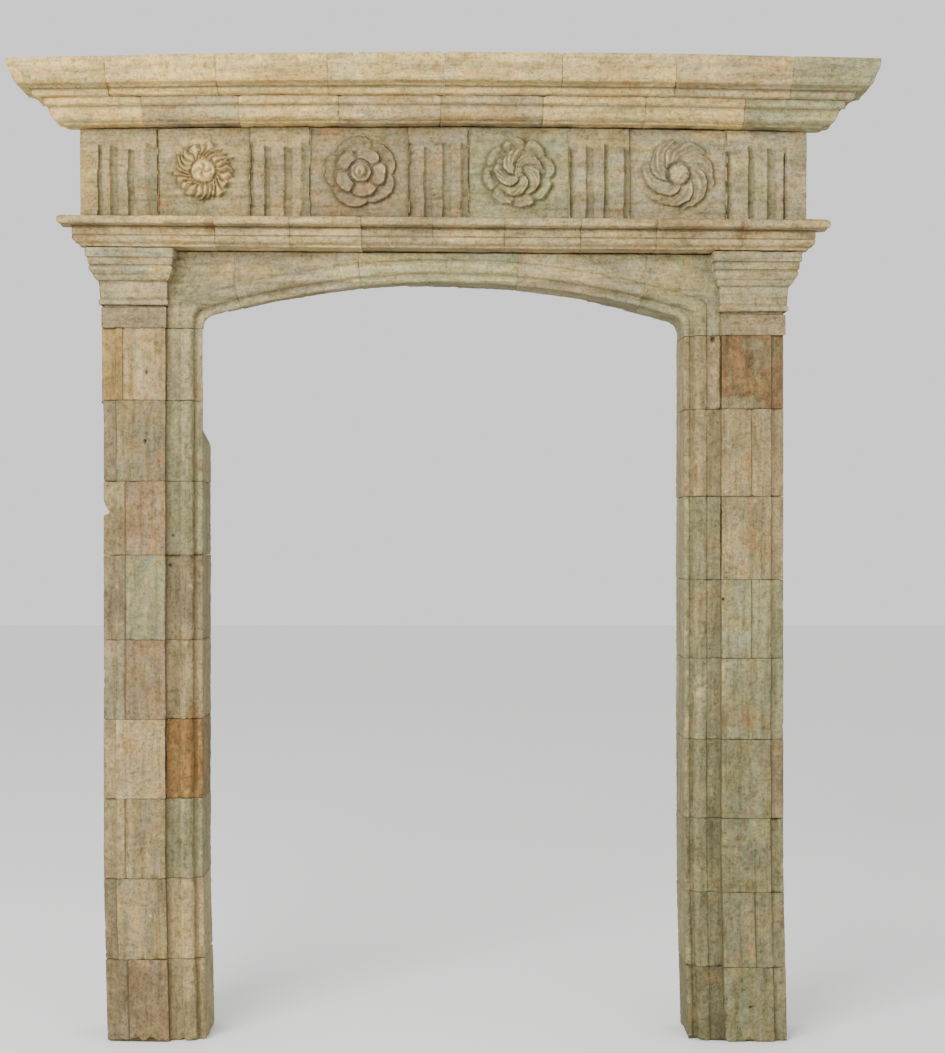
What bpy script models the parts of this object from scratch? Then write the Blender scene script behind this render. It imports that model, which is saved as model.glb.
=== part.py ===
"""A carved stone door surround, built of separate blocks laid in courses.

Two jambs with pilasters and a moulded architrave carry capitals, a low arch, a string course,
a frieze with triglyphs and rosettes, and a cornice in two courses.

Metres, +Z up. The front faces -Y, the flat back faces +Y, and the origin lies on the floor
under the middle of the whole surround. Depths are given as how far a plane stands proud of
the pilaster face.
"""

import math

import bmesh
import bpy

# Clearance between two blocks that touch
JOINT = 0.0004

# Plan of one jamb, from the middle of the doorway outwards
OPENING_HALF = 0.772
ARCHITRAVE_WIDTH = 0.0755
RECESS_WIDTH = 0.0421
PILASTER_WIDTH = 0.160
STRIP_WIDTH = 0.042
ARRIS_HALF = OPENING_HALF + ARCHITRAVE_WIDTH + RECESS_WIDTH
PILASTER_HALF = ARRIS_HALF + PILASTER_WIDTH
JAMB_HALF = PILASTER_HALF + STRIP_WIDTH

# Depths, measured from the pilaster face
JAMB_DEPTH = 0.24
RECESS_DEPTH = 0.022
STRIP_DEPTH = 0.010
BEAD_DEPTH = 0.034
VALLEY_DEPTH = 0.050
ROLL_DEPTH = 0.012
FRIEZE_PROUD = 0.050

# Share of the architrave width that the small bead beside the opening takes
BEAD_SHARE = 0.36
ROLL_STEPS = 5

# Heights of the jamb courses, from the floor up
LEFT_COURSES = (0.262, 0.259, 0.256, 0.2545, 0.2545, 0.272, 0.237, 0.259, 0.2315)
RIGHT_COURSES = (0.237, 0.240, 0.237, 0.253, 0.260, 0.253, 0.266, 0.280, 0.236)

# Courses whose architrave is a stone of its own, counted from the floor
LEFT_SPLIT = (4, 9)
RIGHT_SPLIT = (7, 9)

# Capitals
LEFT_CAPITAL_HEIGHT = 0.252
RIGHT_CAPITAL_HEIGHT = 0.258
CAPITAL_REACH = 0.050
CAPITAL_RETURN = 0.034
NECKING_HEIGHT = 0.072

# Arch, with its rounded shoulders. Its joints are shares of the half opening
ARCH_RADIUS = 2.66
SPRING_RISE = 0.004
SHOULDER_RADIUS = 0.040
OUTER_SHOULDER_RADIUS = 0.030
SHOULDER_STEPS = 4
ARCH_JOINTS = (-0.845, -0.343, 0.304, 0.819)
ARCH_STEP = 0.11

# Heights of the courses above the capitals
STRING_HEIGHT = 0.0965
FRIEZE_LEFT = 0.2745
FRIEZE_RIGHT = 0.281
FRIEZE_MIDDLE = 0.292
LOWER_CORNICE_HEIGHT = 0.077
UPPER_CORNICE_LEFT = 0.104
UPPER_CORNICE_RIGHT = 0.113
UPPER_CORNICE_MIDDLE = 0.113

# Plan of the upper courses
FRIEZE_MARGIN = 0.0134
FRIEZE_HALF = JAMB_HALF + CAPITAL_REACH + FRIEZE_MARGIN
SLAB_REACH = 0.063
STRING_MOULDING_REACH = 0.0225
LOWER_CORNICE_REACH = 0.1015
CORNICE_REACH = 0.192

# The side mouldings end this far behind the frieze face, where the surround enters its wall
RETURN_DEPTH = 0.020
TAIL_MARGIN = 0.006

# Joints between the stones of each upper course, as shares of the half frieze
STRING_JOINTS = (-0.627, -0.422, -0.225, -0.029, 0.168, 0.376, 0.584, 0.818)
LOWER_CORNICE_JOINTS = (-0.818, -0.555, -0.284, -0.007, 0.270, 0.547, 0.816)
UPPER_CORNICE_JOINTS = (-0.903, -0.608, -0.310, 0.003, 0.318, 0.621, 0.933)

# Triglyphs, as shares of the half frieze, and the side of each on which a joint falls
TRIGLYPH_CENTRES = (-0.8684, -0.4506, -0.0138, 0.4286, 0.8600)
FRIEZE_JOINT_SIDES = (1, 1, 1, -1, -1)
TRIGLYPH_WIDTH = 0.192
TRIGLYPH_BARS = 3
BAR_WIDTH = 0.031
GLYPH_DEPTH = 0.013
TRIGLYPH_HEAD = 0.056
FILLET_WIDTH = 0.004

# Sunk panels between the triglyphs, with a rosette in each
PANEL_SINK = 0.006
ROSETTE_SHIFTS = (0.0, 0.0055, 0.0, 0.0032)
ROSETTE_RISE = 0.147
SUNFLOWER_RADIUS = 0.096
ROSE_RADIUS = 0.112
WHORL_RADIUS = 0.114
PINWHEEL_RADIUS = 0.114
ROSETTE_RELIEF = 0.026
BOSS_RADIUS = 0.036
ROSETTE_ROOT = 0.012

# The upper courses bend a little at these shares of the half width
CAMBER_SHARES = (-1.0, -0.5, 0.0, 0.5, 1.0)

TOTAL_DEPTH = JAMB_DEPTH + FRIEZE_PROUD + CORNICE_REACH
FACE_Y = FRIEZE_PROUD + CORNICE_REACH - TOTAL_DEPTH / 2
WALL_Y = FACE_Y + JAMB_DEPTH
FRIEZE_Y = FACE_Y - FRIEZE_PROUD
TOP_HALF = FRIEZE_HALF + CORNICE_REACH
RETURN_Y = FRIEZE_Y + RETURN_DEPTH
TAIL_HALF = FRIEZE_HALF - TAIL_MARGIN
CUT_OVERRUN = 0.03

JAMB_COLOUR = (0.33, 0.27, 0.18)
ARCH_COLOUR = (0.40, 0.36, 0.26)
FRIEZE_COLOUR = (0.38, 0.34, 0.24)
CORNICE_COLOUR = (0.52, 0.43, 0.30)
STONE_ROUGHNESS = 0.9


def clear_scene():
    for old in list(bpy.data.objects):
        bpy.data.objects.remove(old, do_unlink=True)


def stone_material(name, colour):
    material = bpy.data.materials.new(name)
    material.use_nodes = True
    shader = material.node_tree.nodes["Principled BSDF"]
    shader.inputs["Base Color"].default_value = (*colour, 1.0)
    shader.inputs["Roughness"].default_value = STONE_ROUGHNESS
    shader.inputs["Metallic"].default_value = 0.0
    return material


def add_object(name, bm, colour):
    """Turn a closed bmesh into a named object with its own material."""
    bmesh.ops.recalc_face_normals(bm, faces=bm.faces)
    mesh = bpy.data.meshes.new(name)
    bm.to_mesh(mesh)
    bm.free()
    stone = bpy.data.objects.new(name, mesh)
    bpy.context.scene.collection.objects.link(stone)
    mesh.materials.append(stone_material(name + "_stone", colour))
    return stone


def skin_rings(bm, rings):
    """Join rings of equal length with quads and return their vertices."""
    rows = [[bm.verts.new(point) for point in ring] for ring in rings]
    count = len(rows[0])
    for low, high in zip(rows, rows[1:]):
        for i in range(count):
            j = (i + 1) % count
            bm.faces.new((low[i], low[j], high[j], high[i]))
    return rows


def loft(name, rings, colour):
    """A closed block through rings of points, with a flat cap on each end."""
    bm = bmesh.new()
    rows = skin_rings(bm, rings)
    bm.faces.new(rows[0])
    bm.faces.new(rows[-1])
    return add_object(name, bm, colour)


class Bed:
    """A level between two courses: its height at both ends and in the middle."""

    def __init__(self, left, right, middle):
        self.left = left
        self.right = right
        self.rise = middle - (left + right) / 2

    def knot(self, share):
        slope = self.left + (self.right - self.left) * (share + 1) / 2
        return slope + self.rise * (1 - share * share)

    def __call__(self, x):
        share = min(max(x / TOP_HALF, -1.0), 1.0)
        spans = zip(CAMBER_SHARES, CAMBER_SHARES[1:])
        low, high = next(span for span in spans if share <= span[1])
        part = (share - low) / (high - low)
        return self.knot(low) * (1 - part) + self.knot(high) * part

    def raised(self, left, right, middle):
        centre = (self.left + self.right) / 2 + self.rise
        return Bed(self.left + left, self.right + right, centre + middle)


LEFT_SHAFT = sum(LEFT_COURSES)
RIGHT_SHAFT = sum(RIGHT_COURSES)
LEFT_TOP = LEFT_SHAFT + LEFT_CAPITAL_HEIGHT
RIGHT_TOP = RIGHT_SHAFT + RIGHT_CAPITAL_HEIGHT
STRING_BED = Bed(LEFT_TOP, RIGHT_TOP, (LEFT_TOP + RIGHT_TOP) / 2)
FRIEZE_BED = STRING_BED.raised(STRING_HEIGHT, STRING_HEIGHT, STRING_HEIGHT)
LOWER_BED = FRIEZE_BED.raised(FRIEZE_LEFT, FRIEZE_RIGHT, FRIEZE_MIDDLE)
UPPER_BED = LOWER_BED.raised(LOWER_CORNICE_HEIGHT, LOWER_CORNICE_HEIGHT, LOWER_CORNICE_HEIGHT)
TOP_BED = UPPER_BED.raised(UPPER_CORNICE_LEFT, UPPER_CORNICE_RIGHT, UPPER_CORNICE_MIDDLE)


def architrave_profile():
    """Offsets from the opening edge, with the depth of the moulding there."""
    bead = ARCHITRAVE_WIDTH * BEAD_SHARE
    points = [(0.0, BEAD_DEPTH + 0.006), (bead * 0.14, BEAD_DEPTH)]
    points += [(bead * 0.60, BEAD_DEPTH - 0.002), (bead * 0.84, BEAD_DEPTH + 0.004)]
    points += [(bead, VALLEY_DEPTH)]
    half = (ARCHITRAVE_WIDTH - bead) / 2
    middle = bead + half
    for i in range(ROLL_STEPS + 1):
        angle = math.pi * (0.10 + 0.80 * i / ROLL_STEPS)
        foot = VALLEY_DEPTH + (RECESS_DEPTH - VALLEY_DEPTH) * i / ROLL_STEPS
        rise = (foot - ROLL_DEPTH) * math.sin(angle) ** 0.8
        points.append((middle - half * 0.97 * math.cos(angle), foot - rise))
    points.append((ARCHITRAVE_WIDTH, RECESS_DEPTH + 0.006))
    points.append((ARCHITRAVE_WIDTH + 0.003, RECESS_DEPTH))
    return points


def jamb_plan(side, part):
    """Outline of a jamb stone seen from above: the whole stone, or one part of it."""
    inner = [(OPENING_HALF, WALL_Y)]
    inner += [(OPENING_HALF + offset, FACE_Y + depth) for offset, depth in architrave_profile()]
    pilaster = [(ARRIS_HALF, FACE_Y), (PILASTER_HALF, FACE_Y)]
    pilaster += [(PILASTER_HALF + 0.002, FACE_Y + STRIP_DEPTH), (JAMB_HALF, FACE_Y + STRIP_DEPTH)]
    pilaster += [(JAMB_HALF, WALL_Y)]
    if part == "architrave":
        edge = ARRIS_HALF - JOINT
        outline = inner + [(edge, FACE_Y + RECESS_DEPTH), (edge, WALL_Y)]
    elif part == "pilaster":
        outline = [(ARRIS_HALF, WALL_Y)] + pilaster
    else:
        outline = inner + [(ARRIS_HALF - 0.003, FACE_Y + RECESS_DEPTH)] + pilaster
    return [(side * x, y) for x, y in outline]


def jamb_stone(name, side, part, bottom, top):
    rings = [[(x, y, z) for x, y in jamb_plan(side, part)] for z in (bottom, top)]
    loft(name, rings, JAMB_COLOUR)


def build_jamb(word, side, courses, split):
    level = 0.0
    for number, height in enumerate(courses, 1):
        bottom = level + (JOINT if number > 1 else 0.0)
        level += height
        name = f"{word}_jamb_stone_{number}"
        if number in split:
            jamb_stone(name, side, "pilaster", bottom, level)
            jamb_stone(f"{word}_architrave_stone_{number}", side, "architrave", bottom, level)
        else:
            jamb_stone(name, side, "whole", bottom, level)


def capital_profile(height):
    """Levels above the capital's bed, with the share of its full reach there."""
    body = height - NECKING_HEIGHT
    steps = ((0.0, 0.08), (NECKING_HEIGHT, 0.08))
    mouldings = (
        (0.000, 0.20), (0.035, 0.26), (0.100, 0.23), (0.120, 0.13), (0.135, 0.16),
        (0.410, 0.24), (0.430, 0.36), (0.490, 0.52), (0.525, 0.54), (0.535, 0.60),
        (0.600, 0.76), (0.670, 0.80), (0.690, 0.73), (0.705, 0.84), (0.815, 0.86),
        (0.830, 0.985), (1.000, 1.00),
    )
    return steps + tuple((NECKING_HEIGHT + body * share, reach) for share, reach in mouldings)


def build_capital(word, side, bed, height):
    """The mouldings wrap the front and outer side, and die into the spandrel inside."""
    spandrel_y = FACE_Y + RECESS_DEPTH - JOINT
    top = height
    rings = []
    for level, share in capital_profile(height):
        reach = CAPITAL_REACH * share
        inner = ARRIS_HALF - CAPITAL_RETURN * share
        outer = JAMB_HALF + reach
        plan = [
            (ARRIS_HALF, WALL_Y),
            (ARRIS_HALF, spandrel_y),
            (inner, spandrel_y),
            (inner, FACE_Y - reach),
            (outer, FACE_Y - reach),
            (outer, WALL_Y),
        ]
        ring = []
        for x, y in plan:
            under = bed + JOINT
            over = STRING_BED(side * x)
            ring.append((side * x, y, under + (over - under) * level / top))
        rings.append(ring)
    loft(f"{word}_capital", rings, ARCH_COLOUR)


def arch_centre():
    """Height of the arch's centre, so that its shoulders spring just above the taller jamb."""
    x = OPENING_HALF - SHOULDER_RADIUS
    reach = ARCH_RADIUS - SHOULDER_RADIUS
    spring = max(LEFT_SHAFT, RIGHT_SHAFT) + SPRING_RISE
    return spring - math.sqrt(reach * reach - x * x)


ARCH_CENTRE = arch_centre()


def shoulder(offset):
    """Centre, radius and end angle of the rounded corner, for a line this far from the opening."""
    blend = min(offset / ARCHITRAVE_WIDTH, 1.0)
    corner = SHOULDER_RADIUS + (OUTER_SHOULDER_RADIUS - SHOULDER_RADIUS) * blend
    x = OPENING_HALF + offset - corner
    reach = ARCH_RADIUS + offset - corner
    rise = math.sqrt(reach * reach - x * x)
    return x, ARCH_CENTRE + rise, corner, math.atan2(rise, x)


def arch_point(station, offset):
    """A point on the line at this offset from the opening; stations below zero lie on the jamb."""
    kind, value = station
    if kind == "jamb":
        return OPENING_HALF + offset, value
    x, z, corner, end = shoulder(offset)
    if kind == "corner":
        angle = end * value
        return x + corner * math.cos(angle), z + corner * math.sin(angle)
    reach = ARCH_RADIUS + offset
    lean = math.asin(value / ARCH_RADIUS)
    return reach * math.sin(lean), ARCH_CENTRE + reach * math.cos(lean)


def arch_ring(station, side, outer):
    """One cut through an arch stone: soffit, mouldings, spandrel face and back."""
    points = []
    profile = architrave_profile()
    for offset, depth in profile:
        x, z = arch_point(station, offset)
        points.append((side * x, FACE_Y + depth, z))
    x, z = outer
    points.append((side * x, FACE_Y + RECESS_DEPTH, z))
    points.append((side * x, WALL_Y, z))
    for offset in (profile[-1][0], 0.0):
        x, z = arch_point(station, offset)
        points.append((side * x, WALL_Y, z))
    return points


def build_arch_block(name, rings):
    """Each end has two flat faces, because a joint turns upright above the moulding."""
    bm = bmesh.new()
    rows = skin_rings(bm, rings)
    for row in (rows[0], rows[-1]):
        bm.faces.new(row[:-4] + row[-2:])
        bm.faces.new(row[-5:-1])
    add_object(name, bm, ARCH_COLOUR)


def spandrel_top(side, x):
    return STRING_BED(side * x) - JOINT


def over_arch(side, value):
    """A station on the arch, with the point above it under the string course."""
    station = ("arch", value)
    x = arch_point(station, ARCHITRAVE_WIDTH + 0.003)[0]
    return station, (x, spandrel_top(side, x))


def springer_cuts(side, bed, limit):
    """The stations of a springer, from the capital's bed round the shoulder to its joint."""
    edge = ARRIS_HALF - JOINT
    top = spandrel_top(side, edge)
    cuts = [(("jamb", bed + JOINT), (edge, bed + JOINT))]
    for i in range(SHOULDER_STEPS + 1):
        share = i / SHOULDER_STEPS
        height = arch_point(("corner", 0.0), ARCHITRAVE_WIDTH)[1]
        cuts.append((("corner", share), (edge, height + (top - height) * share)))
    first = ARCH_RADIUS * math.cos(shoulder(0.0)[3])
    steps = max(1, round((first - limit) / ARCH_STEP))
    for i in range(1, steps + 1):
        cuts.append(over_arch(side, first + (limit - first) * i / steps))
    return cuts


def build_springer(name, side, bed, limit):
    rings = [arch_ring(station, side, outer) for station, outer in springer_cuts(side, bed, limit)]
    build_arch_block(name, rings)


def build_arch_stone(name, start, end):
    steps = max(1, math.ceil((end - start) / ARCH_STEP))
    rings = []
    for i in range(steps + 1):
        station, outer = over_arch(1, start + (end - start) * i / steps)
        rings.append(arch_ring(station, 1, outer))
    build_arch_block(name, rings)


def build_arch():
    half = JOINT / 2
    joints = [share * OPENING_HALF for share in ARCH_JOINTS]
    build_springer("arch_stone_1", -1, LEFT_SHAFT, -joints[0] + half)
    for number, (start, end) in enumerate(zip(joints, joints[1:]), 2):
        build_arch_stone(f"arch_stone_{number}", start + half, end - half)
    build_springer(f"arch_stone_{len(joints) + 1}", 1, RIGHT_SHAFT, joints[-1] + half)


def stations_between(start, end):
    """Both ends of a stone, and each bend of its bed that lies between them."""
    bends = [share * TOP_HALF for share in CAMBER_SHARES]
    return [start] + [x for x in bends if start + JOINT < x < end - JOINT] + [end]


def middle_plan(start, end, reach):
    """Plan of a stone between two joints, and the faces of its flat ends as corner numbers."""
    stations = stations_between(start, end)
    plan = [(x, FRIEZE_Y - reach) for x in stations] + [(x, WALL_Y) for x in reversed(stations)]
    last = len(plan) - 1
    return plan, [(i, i + 1, last - 1 - i, last - i) for i in range(len(stations) - 1)]


def corner_plan(side, joint, reach):
    """Plan of a stone whose mouldings turn the corner and end where its tail enters the wall."""
    front = FRIEZE_Y - reach
    corner = side * (FRIEZE_HALF + reach)
    tail = side * TAIL_HALF
    plan = [(joint, front), (tail, front), (corner, front), (corner, RETURN_Y)]
    plan += [(tail, RETURN_Y), (tail, WALL_Y), (joint, WALL_Y)]
    return plan, [(1, 2, 3, 4), (0, 1, 4, 5, 6)]


def course_block(bm, start, end, levels, bottom, top):
    """A moulded block between two beds. An end given as None turns the corner of the surround."""
    rings = []
    for share, reach in levels:
        if start is None:
            plan, caps = corner_plan(-1, end, reach)
        elif end is None:
            plan, caps = corner_plan(1, start, reach)
        else:
            plan, caps = middle_plan(start, end, reach)
        ring = []
        for x, y in plan:
            under = bottom(x) + JOINT
            ring.append((x, y, under + (top(x) - under) * share))
        rings.append(ring)
    rows = skin_rings(bm, rings)
    for row in (rows[0], rows[-1]):
        for cap in caps:
            bm.faces.new([row[i] for i in cap])


def build_course(word, joints, levels, bottom, top, colour):
    """A course of stones in a row, whose first and last stones turn the corners."""
    edges = [None, *joints, None]
    stones = []
    for number, (start, end) in enumerate(zip(edges, edges[1:]), 1):
        start = None if start is None else start * FRIEZE_HALF + JOINT / 2
        end = None if end is None else end * FRIEZE_HALF - JOINT / 2
        bm = bmesh.new()
        course_block(bm, start, end, levels, bottom, top)
        stones.append(add_object(f"{word}_stone_{number}", bm, colour))
    return stones


def string_levels():
    moulding = STRING_MOULDING_REACH
    slab = SLAB_REACH
    return (
        (0.000, -0.12 * moulding), (0.035, 0.12 * moulding), (0.105, 0.20 * moulding),
        (0.140, 0.58 * moulding), (0.175, 0.80 * moulding), (0.250, 0.95 * moulding),
        (0.660, moulding), (0.668, 0.90 * slab), (0.715, 0.985 * slab), (0.770, slab),
        (0.870, slab), (0.940, 0.95 * slab), (1.000, 0.83 * slab),
    )


def lower_cornice_levels():
    reach = LOWER_CORNICE_REACH
    return (
        (0.000, 0.30 * reach), (0.040, 0.43 * reach), (0.090, 0.45 * reach),
        (0.115, 0.59 * reach), (0.235, 0.72 * reach), (0.415, 0.79 * reach),
        (0.650, 0.84 * reach), (0.700, 0.905 * reach), (0.740, 0.94 * reach),
        (0.880, 0.975 * reach), (1.000, reach),
    )


def upper_cornice_levels():
    reach = CORNICE_REACH
    return (
        (0.000, 0.63 * reach), (0.090, 0.66 * reach), (0.175, 0.677 * reach),
        (0.190, 0.72 * reach), (0.235, 0.776 * reach), (0.265, 0.865 * reach),
        (0.345, 0.90 * reach), (0.480, 0.92 * reach), (0.630, 0.955 * reach),
        (0.760, 0.99 * reach), (0.880, reach), (1.000, 0.997 * reach),
    )


def add_prism(bm, outline, low, high):
    """A closed prism over a plan outline, whose ends may slope with the depth."""
    rings = [[(x, y, z(y)) for x, y in outline] for z in (low, high)]
    rows = skin_rings(bm, rings)
    bm.faces.new(rows[0])
    bm.faces.new(rows[-1])


def frieze_places():
    """Centre of each triglyph, the joints beside them, and the edges of the panels between them."""
    half = TRIGLYPH_WIDTH / 2
    centres = [share * FRIEZE_HALF for share in TRIGLYPH_CENTRES]
    joints = [centre + side * half for centre, side in zip(centres, FRIEZE_JOINT_SIDES)]
    panels = [(low + half, high - half) for low, high in zip(centres, centres[1:])]
    return centres, joints, panels


def triglyph_grooves():
    """Width of the outer chamfers, and start and end of each groove from the left edge."""
    gap = (TRIGLYPH_WIDTH - TRIGLYPH_BARS * BAR_WIDTH) / TRIGLYPH_BARS
    grooves = []
    for i in range(1, TRIGLYPH_BARS):
        start = gap / 2 + i * BAR_WIDTH + (i - 1) * gap
        grooves.append((start, start + gap))
    return gap / 2, grooves


def cut_triglyph(bm, centre):
    """V-shaped grooves between the bars, and a chamfer down each outer bar."""
    left = centre - TRIGLYPH_WIDTH / 2
    chamfer, grooves = triglyph_grooves()
    front = FRIEZE_Y - CUT_OVERRUN
    floor = FRIEZE_Y + GLYPH_DEPTH
    bottom = FRIEZE_BED(centre) - CUT_OVERRUN
    head = LOWER_BED(centre) - TRIGLYPH_HEAD

    def low(_):
        return bottom

    def high(y):
        return head - max(0.0, y - FRIEZE_Y)

    for start, end in grooves:
        near = left + start
        far = left + end
        valley = (near + far) / 2
        outline = ((near, front), (far, front), (far, FRIEZE_Y), (valley, floor), (near, FRIEZE_Y))
        add_prism(bm, outline, low, high)
    for edge, way in ((left, 1), (left + TRIGLYPH_WIDTH, -1)):
        near = edge + way * FILLET_WIDTH
        far = edge + way * chamfer
        outline = ((near, front), (far, front), (far, FRIEZE_Y), (near, floor))
        add_prism(bm, outline, low, high)


def cut_panel(bm, left, right):
    """The sunk ground round a rosette."""
    front = FRIEZE_Y - CUT_OVERRUN
    back = FRIEZE_Y + PANEL_SINK
    near = left + FILLET_WIDTH
    far = right - FILLET_WIDTH
    low = min(FRIEZE_BED(near), FRIEZE_BED(far)) - CUT_OVERRUN
    high = max(LOWER_BED(near), LOWER_BED(far)) + CUT_OVERRUN
    outline = ((near, front), (far, front), (far, back), (near, back))
    add_prism(bm, outline, lambda _: low, lambda _: high)


def guide_object(name, bm):
    """A helper shape that a Boolean reads and that is not part of the surround."""
    guide = add_object(name, bm, FRIEZE_COLOUR)
    guide.display_type = "WIRE"
    guide.hide_render = True
    return guide


def add_boolean(stone, operation, guide):
    modifier = stone.modifiers.new(operation.lower(), "BOOLEAN")
    modifier.operation = operation
    modifier.solver = "EXACT"
    modifier.object = guide


def rosette_mesh(centre_x, centre_z, radius, columns, rings, height):
    """A relief on the panel ground; height(share, turn) gives radius factor, twist and rise."""
    bm = bmesh.new()
    ground = FRIEZE_Y + PANEL_SINK
    rows = []
    for share in rings:
        row = []
        for i in range(columns):
            turn = i / columns
            stretch, twist, rise = height(share, turn)
            angle = 2 * math.pi * (turn + twist)
            reach = radius * share * stretch
            x = centre_x + reach * math.cos(angle)
            z = centre_z + reach * math.sin(angle)
            row.append(bm.verts.new((x, ground - rise, z)))
        rows.append(row)
    base = [bm.verts.new((vert.co.x, ground + ROSETTE_ROOT, vert.co.z)) for vert in rows[-1]]
    rows.append(base)
    for inner, outer in zip(rows, rows[1:]):
        for i in range(columns):
            j = (i + 1) % columns
            bm.faces.new((inner[i], inner[j], outer[j], outer[i]))
    peak = bm.verts.new((centre_x, ground - ROSETTE_RELIEF, centre_z))
    for i in range(columns):
        bm.faces.new((peak, rows[0][i], rows[0][(i + 1) % columns]))
    bm.faces.new(base)
    return bm


def wave(turn, count, phase=0.0):
    return math.cos(2 * math.pi * (turn * count + phase))


def boss_rise(share, boss):
    """A rounded button that ends in a groove."""
    return ROSETTE_RELIEF * math.sqrt(max(0.0, 1 - (share / boss) ** 2 * 0.75))


def sunflower(share, turn):
    """Many narrow tongues that bend as they leave the button."""
    boss = BOSS_RADIUS / SUNFLOWER_RADIUS
    petal = wave(turn, 24)
    if share < boss:
        return 1.0, 0.0, boss_rise(share, boss)
    if share < boss * 1.3:
        return 1.0, 0.0, 0.30 * ROSETTE_RELIEF
    if share > 0.99:
        return 1.0 + 0.06 * petal, 0.020, -0.003
    return 1.0, 0.015 * share, (0.48 + 0.20 * petal) * ROSETTE_RELIEF


def rose(share, turn):
    """Five rounded petals behind five smaller ones set between them."""
    boss = BOSS_RADIUS / ROSE_RADIUS
    outer = wave(turn, 5)
    inner = wave(turn, 5, 0.5)
    if share < boss:
        return 1.0, 0.0, boss_rise(share, boss)
    if share < boss * 1.3:
        return 1.0, 0.0, 0.35 * ROSETTE_RELIEF
    if share < 0.70:
        return 1.0 + 0.06 * inner, 0.01, (0.72 + 0.14 * inner) * ROSETTE_RELIEF
    if share < 0.80:
        return 1.0 + 0.06 * inner, 0.01, (0.34 + 0.08 * outer) * ROSETTE_RELIEF
    if share > 0.99:
        return 1.0 + 0.05 * outer, 0.0, -0.003
    return 1.0 + 0.05 * outer, 0.0, (0.56 + 0.16 * outer) * ROSETTE_RELIEF


def whorl(share, turn):
    """Eight flat lobes round an inner wheel of five curling petals."""
    boss = 0.72 * BOSS_RADIUS / WHORL_RADIUS
    lobes = wave(turn, 8)
    curls = wave(turn, 5, 0.1)
    if share < boss:
        return 1.0, 0.0, boss_rise(share, boss)
    if share < boss * 1.3:
        return 1.0, 0.02, 0.45 * ROSETTE_RELIEF
    if share < 0.62:
        return 1.0 + 0.05 * curls, 0.05, (0.74 + 0.20 * curls) * ROSETTE_RELIEF
    if share < 0.76:
        return 1.0 + 0.05 * curls, 0.07, 0.28 * ROSETTE_RELIEF
    if share > 0.99:
        return 1.0 + 0.04 * lobes, 0.0, -0.003
    return 1.0 + 0.04 * lobes, 0.0, (0.50 + 0.12 * lobes) * ROSETTE_RELIEF


def pinwheel(share, turn):
    """Six leaves that swirl round a smooth button."""
    boss = 0.92 * BOSS_RADIUS / PINWHEEL_RADIUS
    leaves = wave(turn, 6)
    twist = 0.10 * share
    if share < boss:
        return 1.0, 0.0, boss_rise(share, boss)
    if share < boss * 1.3:
        return 1.0, twist, 0.40 * ROSETTE_RELIEF
    if share > 0.99:
        return 1.0 + 0.07 * leaves, twist, -0.003
    return 1.0, twist, (0.60 + 0.26 * leaves) * ROSETTE_RELIEF


def build_rosettes(panels):
    """The four reliefs, from left to right, as guides that are joined to their stones."""
    kinds = (
        (sunflower, SUNFLOWER_RADIUS, 48, (0.20, 0.36, 0.46, 0.78, 1.0)),
        (rose, ROSE_RADIUS, 30, (0.18, 0.30, 0.39, 0.56, 0.66, 0.74, 0.88, 1.0)),
        (whorl, WHORL_RADIUS, 40, (0.13, 0.21, 0.28, 0.52, 0.68, 0.86, 1.0)),
        (pinwheel, PINWHEEL_RADIUS, 36, (0.16, 0.27, 0.36, 0.56, 0.76, 0.90, 1.0)),
    )
    guides = []
    for number, (panel, shift, kind) in enumerate(zip(panels, ROSETTE_SHIFTS, kinds), 1):
        form, radius, columns, rings = kind
        centre = (panel[0] + panel[1]) / 2 + shift
        height = FRIEZE_BED(centre) + ROSETTE_RISE
        bm = rosette_mesh(centre, height, radius, columns, rings, form)
        guides.append((centre, guide_object(f"rosette_form_{number}", bm)))
    return guides


def build_frieze():
    centres, joints, panels = frieze_places()
    block = ((0.0, 0.0), (1.0, 0.0))
    shares = [joint / FRIEZE_HALF for joint in joints]
    stones = build_course("frieze", shares, block, FRIEZE_BED, LOWER_BED, FRIEZE_COLOUR)
    bm = bmesh.new()
    for centre in centres:
        cut_triglyph(bm, centre)
    for left, right in panels:
        cut_panel(bm, left, right)
    cutter = guide_object("frieze_carving", bm)
    rosettes = build_rosettes(panels)
    edges = (-FRIEZE_HALF, *joints, FRIEZE_HALF)
    for stone, start, end in zip(stones, edges, edges[1:]):
        add_boolean(stone, "DIFFERENCE", cutter)
        for centre, guide in rosettes:
            if start < centre < end:
                add_boolean(stone, "UNION", guide)


def main():
    clear_scene()
    build_jamb("left", -1, LEFT_COURSES, LEFT_SPLIT)
    build_jamb("right", 1, RIGHT_COURSES, RIGHT_SPLIT)
    build_capital("left", -1, LEFT_SHAFT, LEFT_CAPITAL_HEIGHT)
    build_capital("right", 1, RIGHT_SHAFT, RIGHT_CAPITAL_HEIGHT)
    build_arch()
    build_course("string", STRING_JOINTS, string_levels(), STRING_BED, FRIEZE_BED, CORNICE_COLOUR)
    build_frieze()
    lower = lower_cornice_levels()
    build_course("lower_cornice", LOWER_CORNICE_JOINTS, lower, LOWER_BED, UPPER_BED, CORNICE_COLOUR)
    upper = upper_cornice_levels()
    build_course("upper_cornice", UPPER_CORNICE_JOINTS, upper, UPPER_BED, TOP_BED, CORNICE_COLOUR)


main()
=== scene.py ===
"""Weathered stone skins, light and stage for a carved door surround."""

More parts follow.
